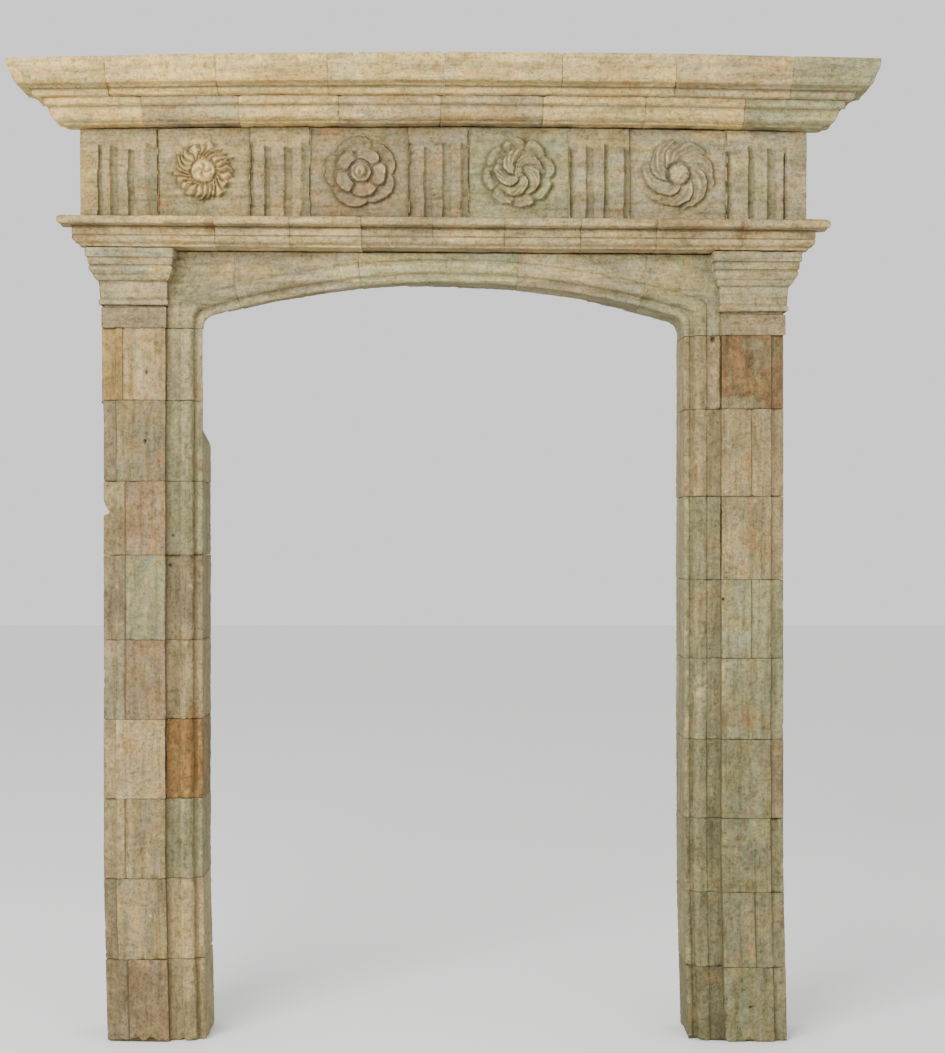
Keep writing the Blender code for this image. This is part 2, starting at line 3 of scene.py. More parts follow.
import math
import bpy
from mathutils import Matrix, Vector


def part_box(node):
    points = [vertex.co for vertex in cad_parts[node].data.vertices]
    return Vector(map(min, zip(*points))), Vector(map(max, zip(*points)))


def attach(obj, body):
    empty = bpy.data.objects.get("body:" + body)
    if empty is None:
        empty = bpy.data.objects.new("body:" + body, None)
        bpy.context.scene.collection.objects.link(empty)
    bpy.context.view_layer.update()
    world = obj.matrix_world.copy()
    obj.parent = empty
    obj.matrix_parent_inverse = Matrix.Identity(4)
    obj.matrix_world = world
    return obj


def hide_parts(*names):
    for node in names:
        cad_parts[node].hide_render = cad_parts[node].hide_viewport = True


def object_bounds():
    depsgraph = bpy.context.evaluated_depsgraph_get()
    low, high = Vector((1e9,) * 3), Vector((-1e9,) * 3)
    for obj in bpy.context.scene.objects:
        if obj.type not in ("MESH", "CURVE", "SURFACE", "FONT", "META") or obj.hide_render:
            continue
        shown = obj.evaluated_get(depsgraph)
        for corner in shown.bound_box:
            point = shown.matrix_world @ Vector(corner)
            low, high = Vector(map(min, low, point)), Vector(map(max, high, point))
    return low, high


bl_info = {
    "name": "Door surround dressing",
    "version": (1, 0, 0),
    "blender": (4, 5, 0),
    "location": "3D View > Sidebar > Surround",
    "description": "Worn stone blocks, carving, soft light and a pale stage for a door surround",
    "category": "Object",
}

import bmesh
import bpy
import numpy as np
from bpy.props import FloatProperty, FloatVectorProperty, PointerProperty
from mathutils import Vector, noise

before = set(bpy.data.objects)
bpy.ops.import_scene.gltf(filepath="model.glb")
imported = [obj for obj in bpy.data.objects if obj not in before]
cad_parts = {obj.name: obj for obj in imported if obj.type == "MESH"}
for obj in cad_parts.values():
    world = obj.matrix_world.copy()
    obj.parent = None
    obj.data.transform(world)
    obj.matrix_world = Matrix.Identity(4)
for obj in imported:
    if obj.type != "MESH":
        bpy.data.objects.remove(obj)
CAD_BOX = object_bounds()

# Photograph frame and viewpoint
PHOTO_WIDTH = 945
PHOTO_HEIGHT = 1053
VIEW_DISTANCE = 6.0
EYE_HEIGHT = 1.6
PIXELS_PER_SLOPE = 1875.0
CENTRE_LEFT = 29.0
CENTRE_LOW = 15.5
SENSOR = 36.0

# Plan of one jamb, from the middle of the doorway outwards
OPENING_HALF = 0.772
ARCHITRAVE_WIDTH = 0.0755
ARRIS_HALF = 0.8896
PILASTER_HALF = 1.0496
JAMB_HALF = 1.0916
REVEAL_FRONT = 0.07
SLIT_DEPTH = 0.0036
RECESS_DEPTH = 0.022
STRIP_DEPTH = 0.010
BEAD_DEPTH = 0.034
VALLEY_DEPTH = 0.039
ROLL_DEPTH = 0.012
BEAD_SHARE = 0.36

# Depths along Y, and half widths of the upper courses
FACE_Y = 0.001
WALL_Y = 0.241
FRIEZE_Y = -0.049
FRIEZE_HALF = 1.155
TOP_HALF = 1.347

# Tops of the two shafts, and how far each part above stands out
LEFT_SHAFT = 2.2855
RIGHT_SHAFT = 2.262
CAPITAL_REACH = 0.050
CAPITAL_RETURN = 0.034
NECKING_HEIGHT = 0.072
SLAB_REACH = 0.063
STRING_MOULDING_REACH = 0.0225
LOWER_CORNICE_REACH = 0.1015
CORNICE_REACH = 0.192
RETURN_Y = -0.029
TAIL_HALF = 1.149
JOINT = 0.0004

# Arch
ARCH_RADIUS = 2.66
SPRING_RISE = 0.004
SHOULDER_RADIUS = 0.040
OUTER_SHOULDER_RADIUS = 0.030
ARCH_JOINTS = (-0.845, -0.343, 0.304, 0.819)

# Carving
PANEL_SINK = 0.006
GLYPH_DEPTH = 0.013
TRIGLYPH_HEAD = 0.056
ROSETTE_RELIEF = 0.026
ROSETTE_RISE = 0.147
ROSETTE_REACH = 0.135

# Capitals
LEFT_CAPITAL_HEIGHT = 0.252
RIGHT_CAPITAL_HEIGHT = 0.258
CAPITAL_PLAN_STEPS = (0.1, 0.02, 0.06, 0.012, 0.026)
CAPITAL_LINE_WIDTH = 0.0100

# Where the soffit is cut back behind the arch moulding, from left to right
REBATE_DEPTH = 0.030
REBATE_RAMP = 0.02
FIRST_REBATE = 0.050
REBATE_PLACES = (-0.70, -0.62, -0.15, 0.05, 0.45, 0.60)
REBATE_STARTS = (0.07, 0.10, 0.115, 0.165, 0.175, 0.24)
SOFFIT_DEPTHS = (0.24, 0.205, 0.185, 0.165, 0.145, 0.125, 0.105, 0.09, 0.077, 0.066, 0.055, 0.047)
SPANDREL_COLUMNS = 34

# Damage of the left jamb, and the feet of both
EDGE_BAND = 0.040
EDGE_BAND_DEPTH = 0.13
NOTCH_TOP = 1.736
NOTCH_FOOT = 1.688
NOTCH_RISE = 0.040
NOTCH_LIP = 0.004
NOTCH_BITE = 0.022
UPPER_EDGE = (2.040, 2.046)
UPPER_EDGE_SWELL = 0.007
REVEAL_CUT = 0.030
REVEAL_CUT_DEPTHS = (0.036, 0.075)
REVEAL_CUT_HEIGHTS = (1.915, 1.985)
FOOT_SHIFT = 0.013
FOOT_SHIFT_HEIGHT = 0.62
FOOT_BREAK = 0.022
FOOT_BREAK_HEIGHT = 0.05

# Widths of the lumps in the wear, the reach of worn corners and of dark joints, and the depth of hollow that
# takes the full painted shade
SWELL_LUMP = 0.16
BROAD_LUMP = 0.055
SMALL_LUMP = 0.017
TINY_LUMP = 0.0062
CORNER_REACH = 0.009
CORNER_CHIP = 0.0045
TOP_CHIP = 0.0055
HOLLOW_SHADE_DEPTH = 0.0026
DIRT_REACH = 0.0028
SOFTEN_POINTS = 9
SMOOTH_ANGLE = 48
BOX_GAP = 0.0002
TOP_GAP = 0.0001

# Seeds of each group's wear, and how far one seed moves a pattern
SEEDS = {"arch": 120, "frieze": 160, "string": 200, "lower_cornice": 240, "upper_cornice": 280}
CAPITAL_SEEDS = {"left": 91, "right": 97}
RIGHT_SEED = 40
ARCHITRAVE_SEED = 17
SEED_STEP = 3
NOISE_STRIDE = (7.31, 3.17, 5.93)
PATTERN_STRIDE = (1.37, 0.71, 2.13)

# Stage
FLOOR_DROP = 0.0015
WORLD_STRENGTH = 1.10
LIGHTS = (
    ("key_light", (-3.4, -6.4, 4.6), (0, 0, 1.8), 4.5, 900.0),
    ("fill_light", (4.5, -6.0, 2.6), (0, 0, 1.5), 5.0, 110.0),
)

# What each point of a worn sheet carries besides its place
SHEET_LAYERS = ("tone", "shift", "dirt_and_shade")

# How much darker each group of stones has weathered than the cornice
SHADES = {"jamb": 0.73, "capital": 0.86, "arch": 0.82, "string": 0.945, "frieze": 0.87, "cornice": 1.0}

# Tones of the stone, as seen in daylight
TONES = {
    "peach": (0.640, 0.465, 0.188),
    "pale": (0.590, 0.440, 0.192),
    "buff": (0.466, 0.354, 0.177),
    "sand": (0.379, 0.295, 0.149),
    "ochre": (0.414, 0.276, 0.104),
    "grey": (0.368, 0.311, 0.178),
    "green": (0.322, 0.294, 0.157),
    "olive": (0.254, 0.231, 0.121),
    "taupe": (0.294, 0.232, 0.129),
    "rosy": (0.338, 0.236, 0.129),
    "brown": (0.278, 0.199, 0.107),
    "moss": (0.186, 0.168, 0.086),
    "rust": (0.225, 0.138, 0.064),
    "orange": (0.290, 0.160, 0.052),
    "mortar": (0.560, 0.520, 0.420),
}


def length(name, about, default):
    """A size in metres, as the panel shows it."""
    return FloatProperty(name=name, description=about, default=default, unit="LENGTH")


def swatch(name, about, default):
    """A colour, as the panel shows it."""
    return FloatVectorProperty(name=name, description=about, default=default, subtype="COLOR", min=0, max=1)


class SurroundSizes(bpy.types.PropertyGroup):
    flat_step: length("Flat step", "Spacing of points on flat faces", 0.0052)
    fine_step: length("Fine step", "Spacing of points across mouldings", 0.0026)
    carving_step: length("Carving step", "Spacing of points on the frieze", 0.0027)
    arris_wear: length("Arris wear", "Distance over which an edge is rounded", 0.0022)
    chip_wear: length("Chip wear", "Distance over which a chip is rounded", 0.010)
    joint_depth: length("Joint depth", "Depth of the worn arris at a joint", 0.0026)
    swell: length("Swell", "Height of the long hollows in a face", 0.0028)
    grain: length("Grain", "Height of the small pits in a face", 0.0019)
    floor_size: length("Floor", "Width of the floor", 60.0)


class SurroundColours(bpy.types.PropertyGroup):
    # The colour of the dark joints and patches, and of the painted shade in hollows and under ledges.
    grime_and_shade: swatch("Grime", "Dirt in hollows and joints", (0.078, 0.060, 0.028))
    lichen: swatch("Lichen", "Yellow-green growth", (0.270, 0.270, 0.095))
    iron: swatch("Iron", "Orange-brown iron stain", (0.400, 0.205, 0.065))
    bloom: FloatVectorProperty(
        name="Bloom", description="Pale worn crust, as a factor on the stone",
        default=(1.34, 1.32, 1.26), min=0, max=2,
    )
    floor: swatch("Floor", "Pale floor", (0.86, 0.86, 0.85))


def sizes():
    return bpy.context.scene.surround_sizes


def colours():
    return bpy.context.scene.surround_colours


class Bed:
    """A level between two courses: its height at both ends and in the middle."""

    def __init__(self, left, right, middle):
        self.left = left
        self.right = right
        self.rise = middle - (left + right) / 2

    def knot(self, share):
        return self.left + (self.right - self.left) * (share + 1) / 2 + self.rise * (1 - share * share)

    def __call__(self, x):
        share = min(max(x / TOP_HALF, -1.0), 1.0)
        low = min(math.floor(share * 2) / 2, 0.5)
        part = (share - low) * 2
        return self.knot(low) * (1 - part) + self.knot(low + 0.5) * part

    def raised(self, left, right, middle):
        centre = (self.left + self.right) / 2 + self.rise
        return Bed(self.left + left, self.right + right, centre + middle)


# Beds of the upper courses
STRING_BED = Bed(2.5375, 2.520, (2.5375 + 2.520) / 2)
FRIEZE_BED = STRING_BED.raised(0.0965, 0.0965, 0.0965)
LOWER_BED = FRIEZE_BED.raised(0.2745, 0.281, 0.292)
UPPER_BED = LOWER_BED.raised(0.077, 0.077, 0.077)
TOP_BED = UPPER_BED.raised(0.104, 0.113, 0.113)


def spread(start, end, step):
    """Evenly spaced values from start up to, but not including, end."""
    count = max(1, round(abs(end - start) / step))
    return [start + (end - start) * i / count for i in range(count)]


def path_points(corners, steps):
    """Points along a bent line, with a spacing for each of its legs."""
    points = []
    for (a, b), step in zip(zip(corners, corners[1:]), steps):
        a = np.array(a, float)
        b = np.array(b, float)
        count = max(1, round(float(np.linalg.norm(b - a)) / step))
        points += [a + (b - a) * i / count for i in range(count)]
    points.append(np.array(corners[-1], float))
    return np.array(points)


def even_points(corners, step):
    """Points along a bent line, all about this far apart."""
    return path_points(corners, [step] * (len(corners) - 1))


def joint_rows(low, high, step):
    """Stations along a stone, close together beside its two joints."""
    near = (0.0, 0.0012, 0.0028, 0.0055)
    rows = [low + gap for gap in near]
    rows += spread(low + 0.009, high - 0.009, step)
    rows += [high - 0.009] + [high - gap for gap in reversed(near)]
    return np.array(rows)


def distances(sheet, axis):
    """Distance of each point from the start of its line."""
    steps = np.linalg.norm(np.diff(sheet, axis=axis), axis=2)
    shape = list(steps.shape)
    shape[axis] = 1
    return np.concatenate((np.zeros(shape), np.cumsum(steps, axis=axis)), axis=axis)


def end_gap(sheet, axis):
    """Distance of each point from the nearer end of its line."""
    along = distances(sheet, axis)
    whole = np.take(along, [-1], axis=axis)
    return np.minimum(along, whole - along)


def soften(sheet, reach, axis):
    """Average the points over about this distance, along one way of the sheet."""
    along = distances(sheet, axis)
    width = np.gradient(along, axis=axis) + 1e-9
    count = sheet.shape[axis]
    total = np.zeros_like(sheet)
    weights = np.zeros_like(along)
    for shift in range(-SOFTEN_POINTS, SOFTEN_POINTS + 1):
        pick = np.clip(np.arange(count) + shift, 0, count - 1)
        gap = np.take(along, pick, axis=axis) - along
        weight = np.exp(-0.5 * (gap / reach) ** 2) * np.take(width, pick, axis=axis)
        total += np.take(sheet, pick, axis=axis) * weight[..., None]
        weights += weight
    return total / weights[..., None]


def sheet_normals(sheet):
    """Directions square to the sheet, out of the stone: on the whole it faces forwards."""
    across = np.gradient(sheet, axis=1)
    along = np.gradient(sheet, axis=0)
    normals = np.cross(across, along)
    normals /= np.maximum(np.linalg.norm(normals, axis=2, keepdims=True), 1e-12)
    return normals * -np.sign(normals[..., 1].sum())


def ripple(sheet, size, seed, stretch=(1.0, 1.0, 1.0)):
    """Smooth noise from about -1 to 1, whose lumps are this wide."""
    points = sheet / (size * np.array(stretch)) + seed * np.array(NOISE_STRIDE)
    values = [noise.noise(point) for point in points.reshape(-1, 3).tolist()]
    return np.array(values).reshape(sheet.shape[:2])


def unit(values):
    return np.clip(values, 0, 1)


def step_up(values, low, high):
    part = unit((values - low) / (high - low))
    return part * part * (3 - 2 * part)


def weather(sheet, seed, open_columns=True, chip=1.0, fine=1.0, hollow_shade=0.8, nick=1.0):
    """Wear a sharp sheet: rounded arrises, chips, hollows and pits. Returns it with its dark joints and
    patches plus painted shade, and its chips.
    """
    size = sizes()
    normals = sheet_normals(sheet)
    soft = soften(soften(sheet, size.arris_wear * fine, 1), size.arris_wear * fine, 0)
    blunt = soften(sheet, size.chip_wear, 1)
    hollow = ((blunt - sheet) * normals).sum(axis=2)
    broad = ripple(sheet, BROAD_LUMP, seed)
    small = ripple(sheet, SMALL_LUMP, seed + 31)
    tiny = ripple(sheet, TINY_LUMP, seed + 57)
    convex = unit(-hollow / 0.002)
    worn = np.clip(0.75 + 0.6 * broad, 0.35, 1.0)
    chips = step_up(broad * 0.75 + small * 0.6, 0.22, 0.55) * convex * chip
    result = sheet + (soft - sheet) * worn[..., None] + (blunt - sheet) * chips[..., None] * 0.85
    ends = end_gap(sheet, 0)
    corners = step_up(broad + 0.5 * small, 0.38, 0.6) * np.exp(-(ends / CORNER_REACH) ** 2)
    corners = corners * CORNER_CHIP * nick
    if open_columns:
        ends = np.minimum(ends, end_gap(sheet, 1))
    ragged = np.clip(0.55 + 0.9 * small + 0.5 * broad, 0.12, 1.8)
    joint = np.exp(-(ends / (0.0020 + 0.0016 * ragged)) ** 2) * size.joint_depth * ragged
    push = size.swell * (ripple(sheet, SWELL_LUMP, seed + 11) - 0.55) * 0.8
    push += size.grain * (0.65 * small - 0.35) + size.grain * 0.55 * (tiny - 0.3)
    push -= joint + corners
    result = result + normals * push[..., None]
    # Painted shade darkens hollows and down-facing faces, and painted light lightens up-facing faces; the
    # joints and random patches are dark as well.
    dirt_and_shade = unit(hollow / HOLLOW_SHADE_DEPTH) * hollow_shade
    dirt_and_shade += 0.40 * np.exp(-(ends / DIRT_REACH) ** 2) * np.clip(0.55 + 1.3 * broad, 0.1, 1.2)
    dirt_and_shade += 0.24 * unit(-normals[..., 2] - 0.15) + 0.34 * unit(-small - 0.2)
    dirt_and_shade -= 0.20 * unit(normals[..., 2])
    return result, unit(dirt_and_shade), chips


def sheet_block(sheet, layers):
    """A grid bent over the sheet's points, with its tones, dark patches and painted shade on the points."""
    rows, columns = sheet.shape[0] - 1, sheet.shape[1] - 1
    bm = bmesh.new()
    bmesh.ops.create_grid(bm, x_segments=columns, y_segments=rows, size=0.5)
    tone = bm.verts.layers.float_color.new("stone_tone")
    shift = bm.verts.layers.float_vector.new("stone_shift")
    grime_and_shade = bm.verts.layers.float.new("stone_grime_and_shade")
    run = bm.verts.layers.float.new("stone_run")
    grid = {}
    for vert in bm.verts:
        i = round((vert.co.x + 0.5) * columns)
        j = round((vert.co.y + 0.5) * rows)
        grid[j, i] = vert
    places = sheet.tolist()
    tones = layers["tone"].tolist()
    shifts = layers["shift"].tolist()
    dirt_and_shade_rows = layers["dirt_and_shade"].tolist()
    for (j, i), vert in grid.items():
        vert.co = places[j][i]
        vert[tone] = (*tones[j][i], 1.0)
        vert[shift] = shifts[j][i]
        vert[grime_and_shade] = dirt_and_shade_rows[j][i]
        vert[run] = layers["run"]
    return bm, grid


def close_round(bm, grid):
    """Bridge the first and last columns behind the stone, and cap its two beds."""
    rows = max(j for j, i in grid)
    columns = max(i for j, i in grid)
    edges = []
    for j in range(rows):
        for i in (0, columns):
            edges.append(bm.edges.get((grid[j, i], grid[j + 1, i])))
    bmesh.ops.bridge_loops(bm, edges=edges)
    bmesh.ops.holes_fill(bm, edges=bm.edges[:], sides=0)


def open_edges(bm):
    return [edge for edge in bm.edges if edge.is_boundary]


def close_behind(bm):
    """Carry the sheet's rim back to the wall and close the back."""
    made = bmesh.ops.extrude_edge_only(bm, edges=open_edges(bm))
    for vert in [item for item in made["geom"] if isinstance(item, bmesh.types.BMVert)]:
        vert.co.y = WALL_Y
    bmesh.ops.dissolve_degenerate(bm, edges=open_edges(bm), dist=0.0001)
    bmesh.ops.holes_fill(bm, edges=open_edges(bm), sides=0)


def finish_block(name, bm, nodes):
    """Make the closed mesh an object that stands for its nodes."""
    bmesh.ops.recalc_face_normals(bm, faces=bm.faces)
    bmesh.ops.triangulate(bm, faces=[face for face in bm.faces if len(face.verts) > 4])
    if any(not edge.is_manifold for edge in bm.edges):
        raise RuntimeError(f"{name} is not closed")
    if bm.calc_volume(signed=True) < 0:
        bmesh.ops.reverse_faces(bm, faces=bm.faces[:])
    for face in bm.faces:
        face.smooth = True
    mesh = bpy.data.meshes.new(name)
    bm.to_mesh(mesh)
    bm.free()
    mesh.set_sharp_from_angle(angle=math.radians(SMOOTH_ANGLE))
    mesh.materials.append(stone_material())
    block = bpy.data.objects.new(name, mesh)
    bpy.context.scene.collection.objects.link(block)
    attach(block, "root")
    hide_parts(*nodes)


def finish_ring(node, worn, layers):
    """Close a sheet that runs round its stone, and let it stand for the node."""
    worn[..., 1] = np.minimum(worn[..., 1], WALL_Y)
    bm, grid = sheet_block(worn, layers)
    close_round(bm, grid)
    finish_block(f"worn_{node}", bm, [node])


def flat_layers(sheet, tone, seed, dirt_and_shade, group, run=0.0):
    """The block's tone with warm, green and rosy patches; run is 1 where the bedding stands upright."""
    stretch = (1.0, 1.0, 2.4) if run else (2.4, 1.0, 1.0)
    patches = ((0.034, 5), (0.021, 9), (0.075, 13))
    warm, rosy, light = (ripple(sheet, size, seed + gap, stretch)[..., None] for size, gap in patches)
    colour = np.array(TONES[tone]) * SHADES[group] * (1 + 0.20 * light)
    colour = colour * (1 + warm * np.array((0.11, 0.0, -0.24)))
    return {
        "tone": colour * (1 + rosy * np.array((0.085, -0.055, -0.04))),
        "shift": np.full(sheet.shape, seed * np.array(PATTERN_STRIDE)),
        "dirt_and_shade": dirt_and_shade,
        "run": run,
        "shade": SHADES[group],
    }


def paint(layers, mask, tone, seed=None):
    """Give part of a sheet another tone, and keep its patches."""
    level = layers["tone"].mean() / np.maximum(layers["tone"].mean(axis=2), 0.05)
    target = np.array(TONES[tone]) * layers["shade"] / np.clip(level, 0.8, 1.25)[..., None]
    layers["tone"] += (target - layers["tone"]) * mask[..., None]
    if seed is not None:
        layers["shift"][mask > 0.5] = seed * np.array(PATTERN_STRIDE)


def add_stains(layers, sheet, stains, seed):
    """Blend in the local stains, with ragged edges."""
    wobble = ripple(sheet, 0.02, seed + 77) * 0.35
    for x, z, wide, high, tone, strength in stains:
        gap = np.sqrt(((sheet[..., 0] - x) / wide) ** 2 + ((sheet[..., 2] - z) / high) ** 2)
        if gap.min() < 1.2:
            paint(layers, strength * (1 - step_up(gap + wobble, 0.7, 1.1)), tone)


def sink_holes(sheet, dirt_and_shade, holes):
    """Small drilled holes and broken pits, darkened inside."""
    for x, z, radius, depth in holes:
        gap = np.hypot(sheet[..., 0] - x, sheet[..., 2] - z) / radius
        if gap.min() < 1:
            front = sheet[..., 1] < 0.1
            pit = np.where(front, 1 - step_up(gap, 0.55, 1.0), 0)
            sheet[..., 1] += depth * pit
            dirt_and_shade[:] = np.maximum(dirt_and_shade, pit)


class StoneNodes:
    """Short ways to add and link the nodes of one material."""

    def __init__(self, material):
        material.use_nodes = True
        self.tree = material.node_tree
        self.shader = self.tree.nodes["Principled BSDF"]

    def node(self, kind, **values):
        made = self.tree.nodes.new(kind)
        for key, value in values.items():
            setattr(made, key, value)
        return made

    def put(self, slot, value):
        """Give a socket a number, a colour, a vector or another node's output."""
        if isinstance(value, bpy.types.NodeSocket):
            self.tree.links.new(value, slot)
        elif slot.type == "RGBA":
            slot.default_value = (*value, 1.0)
        else:
            slot.default_value = value

    def attribute(self, name, output):
        return self.node("ShaderNodeAttribute", attribute_name=name).outputs[output]

    def sum(self, operation, a, b, clamp=False):
        made = self.node("ShaderNodeMath", operation=operation, use_clamp=clamp)
        self.put(made.inputs[0], a)
        self.put(made.inputs[1], b)
        return made.outputs[0]

    def ramp(self, source, low, high):
        made = self.node("ShaderNodeMapRange", interpolation_type="SMOOTHSTEP")
        self.put(made.inputs["From Min"], low)
        self.put(made.inputs["From Max"], high)
        self.put(made.inputs["Value"], source)
        return made.outputs["Result"]

    def mix(self, kind, amount, a, b):
        made = self.node("ShaderNodeMix", data_type="RGBA", blend_type=kind)
        for slot, value in zip((made.inputs[0], made.inputs[6], made.inputs[7]), (amount, a, b)):
            self.put(slot, value)
        return made.outputs[2]

    def cloud(self, source, scale, detail, rough, stretch=None):
        if stretch:
            mapping = self.node("ShaderNodeMapping")
            self.put(mapping.inputs["Scale"], stretch)
            self.put(mapping.inputs["Vector"], source)
            source = mapping.outputs["Vector"]
        made = self.node("ShaderNodeTexNoise")
        for name, value in (("Scale", scale), ("Detail", detail), ("Roughness", rough), ("Vector", source)):
            self.put(made.inputs[name], value)
        return made.outputs["Fac"]


def bedding_cloud(kit, spot):
    """Streaks along the stone's bed, which stands upright in the jambs."""
    made = kit.node("ShaderNodeMix", data_type="FLOAT")
    kit.put(made.inputs[0], kit.attribute("stone_run", "Fac"))
    kit.put(made.inputs[2], kit.cloud(spot, 16.0, 5.0, 0.68, (0.32, 1.0, 3.4)))
    kit.put(made.inputs[3], kit.cloud(spot, 16.0, 5.0, 0.68, (3.6, 3.6, 0.30)))
    return made.outputs[0]


def stone_material():
    """Mottled, pitted sandstone that takes its tone from each block."""
    old = bpy.data.materials.get("weathered_sandstone")
    if old:
        return old
    shades = colours()
    material = bpy.data.materials.new("weathered_sandstone")
    kit = StoneNodes(material)
    shader = kit.shader
    shader.inputs["Specular IOR Level"].default_value = 0.22

    moved = kit.node("ShaderNodeVectorMath", operation="ADD")
    kit.put(moved.inputs[0], kit.node("ShaderNodeTexCoord").outputs["Object"])
    kit.put(moved.inputs[1], kit.attribute("stone_shift", "Vector"))
    spot = moved.outputs["Vector"]
    broad = kit.cloud(spot, 8.0, 4.0, 0.62)
    medium = kit.cloud(spot, 42.0, 6.0, 0.70)
    coarse = kit.cloud(spot, 95.0, 4.0, 0.75)
    grain = kit.cloud(spot, 330.0, 3.0, 0.75)
    growth = kit.cloud(spot, 13.0, 5.0, 0.74)
    rusty = kit.cloud(spot, 10.0, 5.0, 0.70)
    bedding = bedding_cloud(kit, spot)
    pits = kit.node("ShaderNodeTexVoronoi")
    kit.put(pits.inputs["Scale"], 135.0)
    kit.put(pits.inputs["Vector"], spot)
    pitted = kit.ramp(pits.outputs["Distance"], 0.05, 0.30)

    # Each finish: its source, the range where it sets in, its strength, how it mixes, its colour
    crust = tuple(shades.bloom)
    tint = kit.attribute("stone_tone", "Color")
    for source, low, high, strength, kind, colour in (
        (broad, 0.48, 0.70, 0.55, "MULTIPLY", crust),
        (broad, 0.52, 0.30, 0.50, "MULTIPLY", (0.68, 0.68, 0.60)),
        (rusty, 0.52, 0.72, 0.42, "MIX", shades.iron),
        (growth, 0.53, 0.70, 0.42, "MIX", shades.lichen),
        (bedding, 0.50, 0.38, 0.70, "MULTIPLY", (0.66, 0.63, 0.54)),
        (bedding, 0.52, 0.68, 0.60, "MULTIPLY", crust),
        (medium, 0.54, 0.34, 0.62, "MULTIPLY", (0.56, 0.53, 0.45)),
        (medium, 0.54, 0.70, 0.75, "MULTIPLY", crust),
        (coarse, 0.50, 0.38, 0.78, "MULTIPLY", (0.60, 0.56, 0.48)),
        (coarse, 0.55, 0.70, 0.70, "MULTIPLY", crust),
        (grain, 0.50, 0.34, 0.70, "MULTIPLY", (0.52, 0.48, 0.40)),
    ):
        amount = kit.sum("MULTIPLY", kit.ramp(source, low, high), strength)
        tint = kit.mix(kind, amount, tint, colour)
    amount = kit.sum("MULTIPLY", kit.sum("SUBTRACT", 1.0, pitted), 0.30)
    tint = kit.mix("MULTIPLY", amount, tint, (0.42, 0.38, 0.30))
    # The dark joints and patches, and the painted shade, darken the stone towards this colour.
    grime_and_shade = kit.attribute("stone_grime_and_shade", "Fac")
    amount = kit.sum("MULTIPLY", grime_and_shade, kit.sum("ADD", 0.35, medium), clamp=True)
    kit.put(shader.inputs["Base Color"], kit.mix("MIX", amount, tint, shades.grime_and_shade))

    rough = kit.node("ShaderNodeMapRange")
    kit.put(rough.inputs["To Min"], 0.80)
    kit.put(rough.inputs["To Max"], 0.98)
    kit.put(rough.inputs["Value"], medium)
    kit.put(shader.inputs["Roughness"], rough.outputs["Result"])

    relief = kit.sum("MULTIPLY", medium, 0.9)
    for source, height in ((grain, 0.35), (coarse, 0.55), (bedding, 0.55), (pitted, 0.22)):
        relief = kit.sum("ADD", relief, kit.sum("MULTIPLY", source, height))
    bump = kit.node("ShaderNodeBump")
    kit.put(bump.inputs["Strength"], 0.9)
    kit.put(bump.inputs["Distance"], 0.0065)
    kit.put(bump.inputs["Height"], relief)
    kit.put(shader.inputs["Normal"], bump.outputs["Normal"])
    return material


def architrave_profile():
    """Offsets from the opening edge, with the depth of the moulding there."""
    bead = ARCHITRAVE_WIDTH * BEAD_SHARE
    points = []
    for i in range(9):
        angle = math.pi * i / 8
        across = bead * (0.42 - 0.42 * math.cos(angle))
        points.append((across, BEAD_DEPTH + 0.005 - 0.007 * math.sin(angle)))
    points.append((bead, VALLEY_DEPTH))
    half = (ARCHITRAVE_WIDTH - bead) / 2
    for i in range(17):
        angle = math.pi * (0.07 + 0.86 * i / 16)
        foot = VALLEY_DEPTH + (RECESS_DEPTH - VALLEY_DEPTH) * i / 16
        rise = (foot - ROLL_DEPTH) * math.sin(angle) ** 0.8
        points.append((bead + half - half * 0.97 * math.cos(angle), foot - rise))
    points.append((ARCHITRAVE_WIDTH, RECESS_DEPTH + 0.0022))
    points.append((ARCHITRAVE_WIDTH + 0.003, RECESS_DEPTH))
    return points


# Courses whose pilaster and architrave stones are pieces of their own
SPLIT_COURSES = {"left": (4, 9), "right": (7, 9)}

# Lengthwise joints inside a pilaster, from the middle of the doorway outwards
PILASTER_JOINTS = {
    "left": {9: 1.026, 8: None, 7: 1.018, 6: 1.018, 5: 1.018, 4: None, 3: 1.018, 2: None, 1: 1.018},
    "right": {9: None, 8: 0.987, 7: None, 6: 0.987, 5: None, 4: None, 3: None, 2: 0.996, 1: None},
}

# Tones of each course from the floor: architrave, pilaster, outer strip
JAMB_TONES = {
    "left": {
        9: ("grey", "buff", "ochre"), 8: ("green", "taupe", "taupe"), 7: ("green", "rosy", "sand"),
        6: ("taupe", "green", "taupe"), 5: ("sand", "rosy", "grey"), 4: ("orange", "buff", "sand"),
        3: ("green", "sand", "sand"), 2: ("buff", "sand", "taupe"), 1: ("sand", "brown", "taupe"),
    },
    "right": {
        9: ("sand", "rust", "rust"), 8: ("sand", "sand", "sand"), 7: ("green", "sand", "sand"),
        6: ("green", "green", "green"), 5: ("green", "green", "green"), 4: ("olive", "olive", "taupe"),
        3: ("olive", "olive", "olive"), 2: ("olive", "olive", "olive"), 1: ("moss", "olive", "olive"),
    },
}

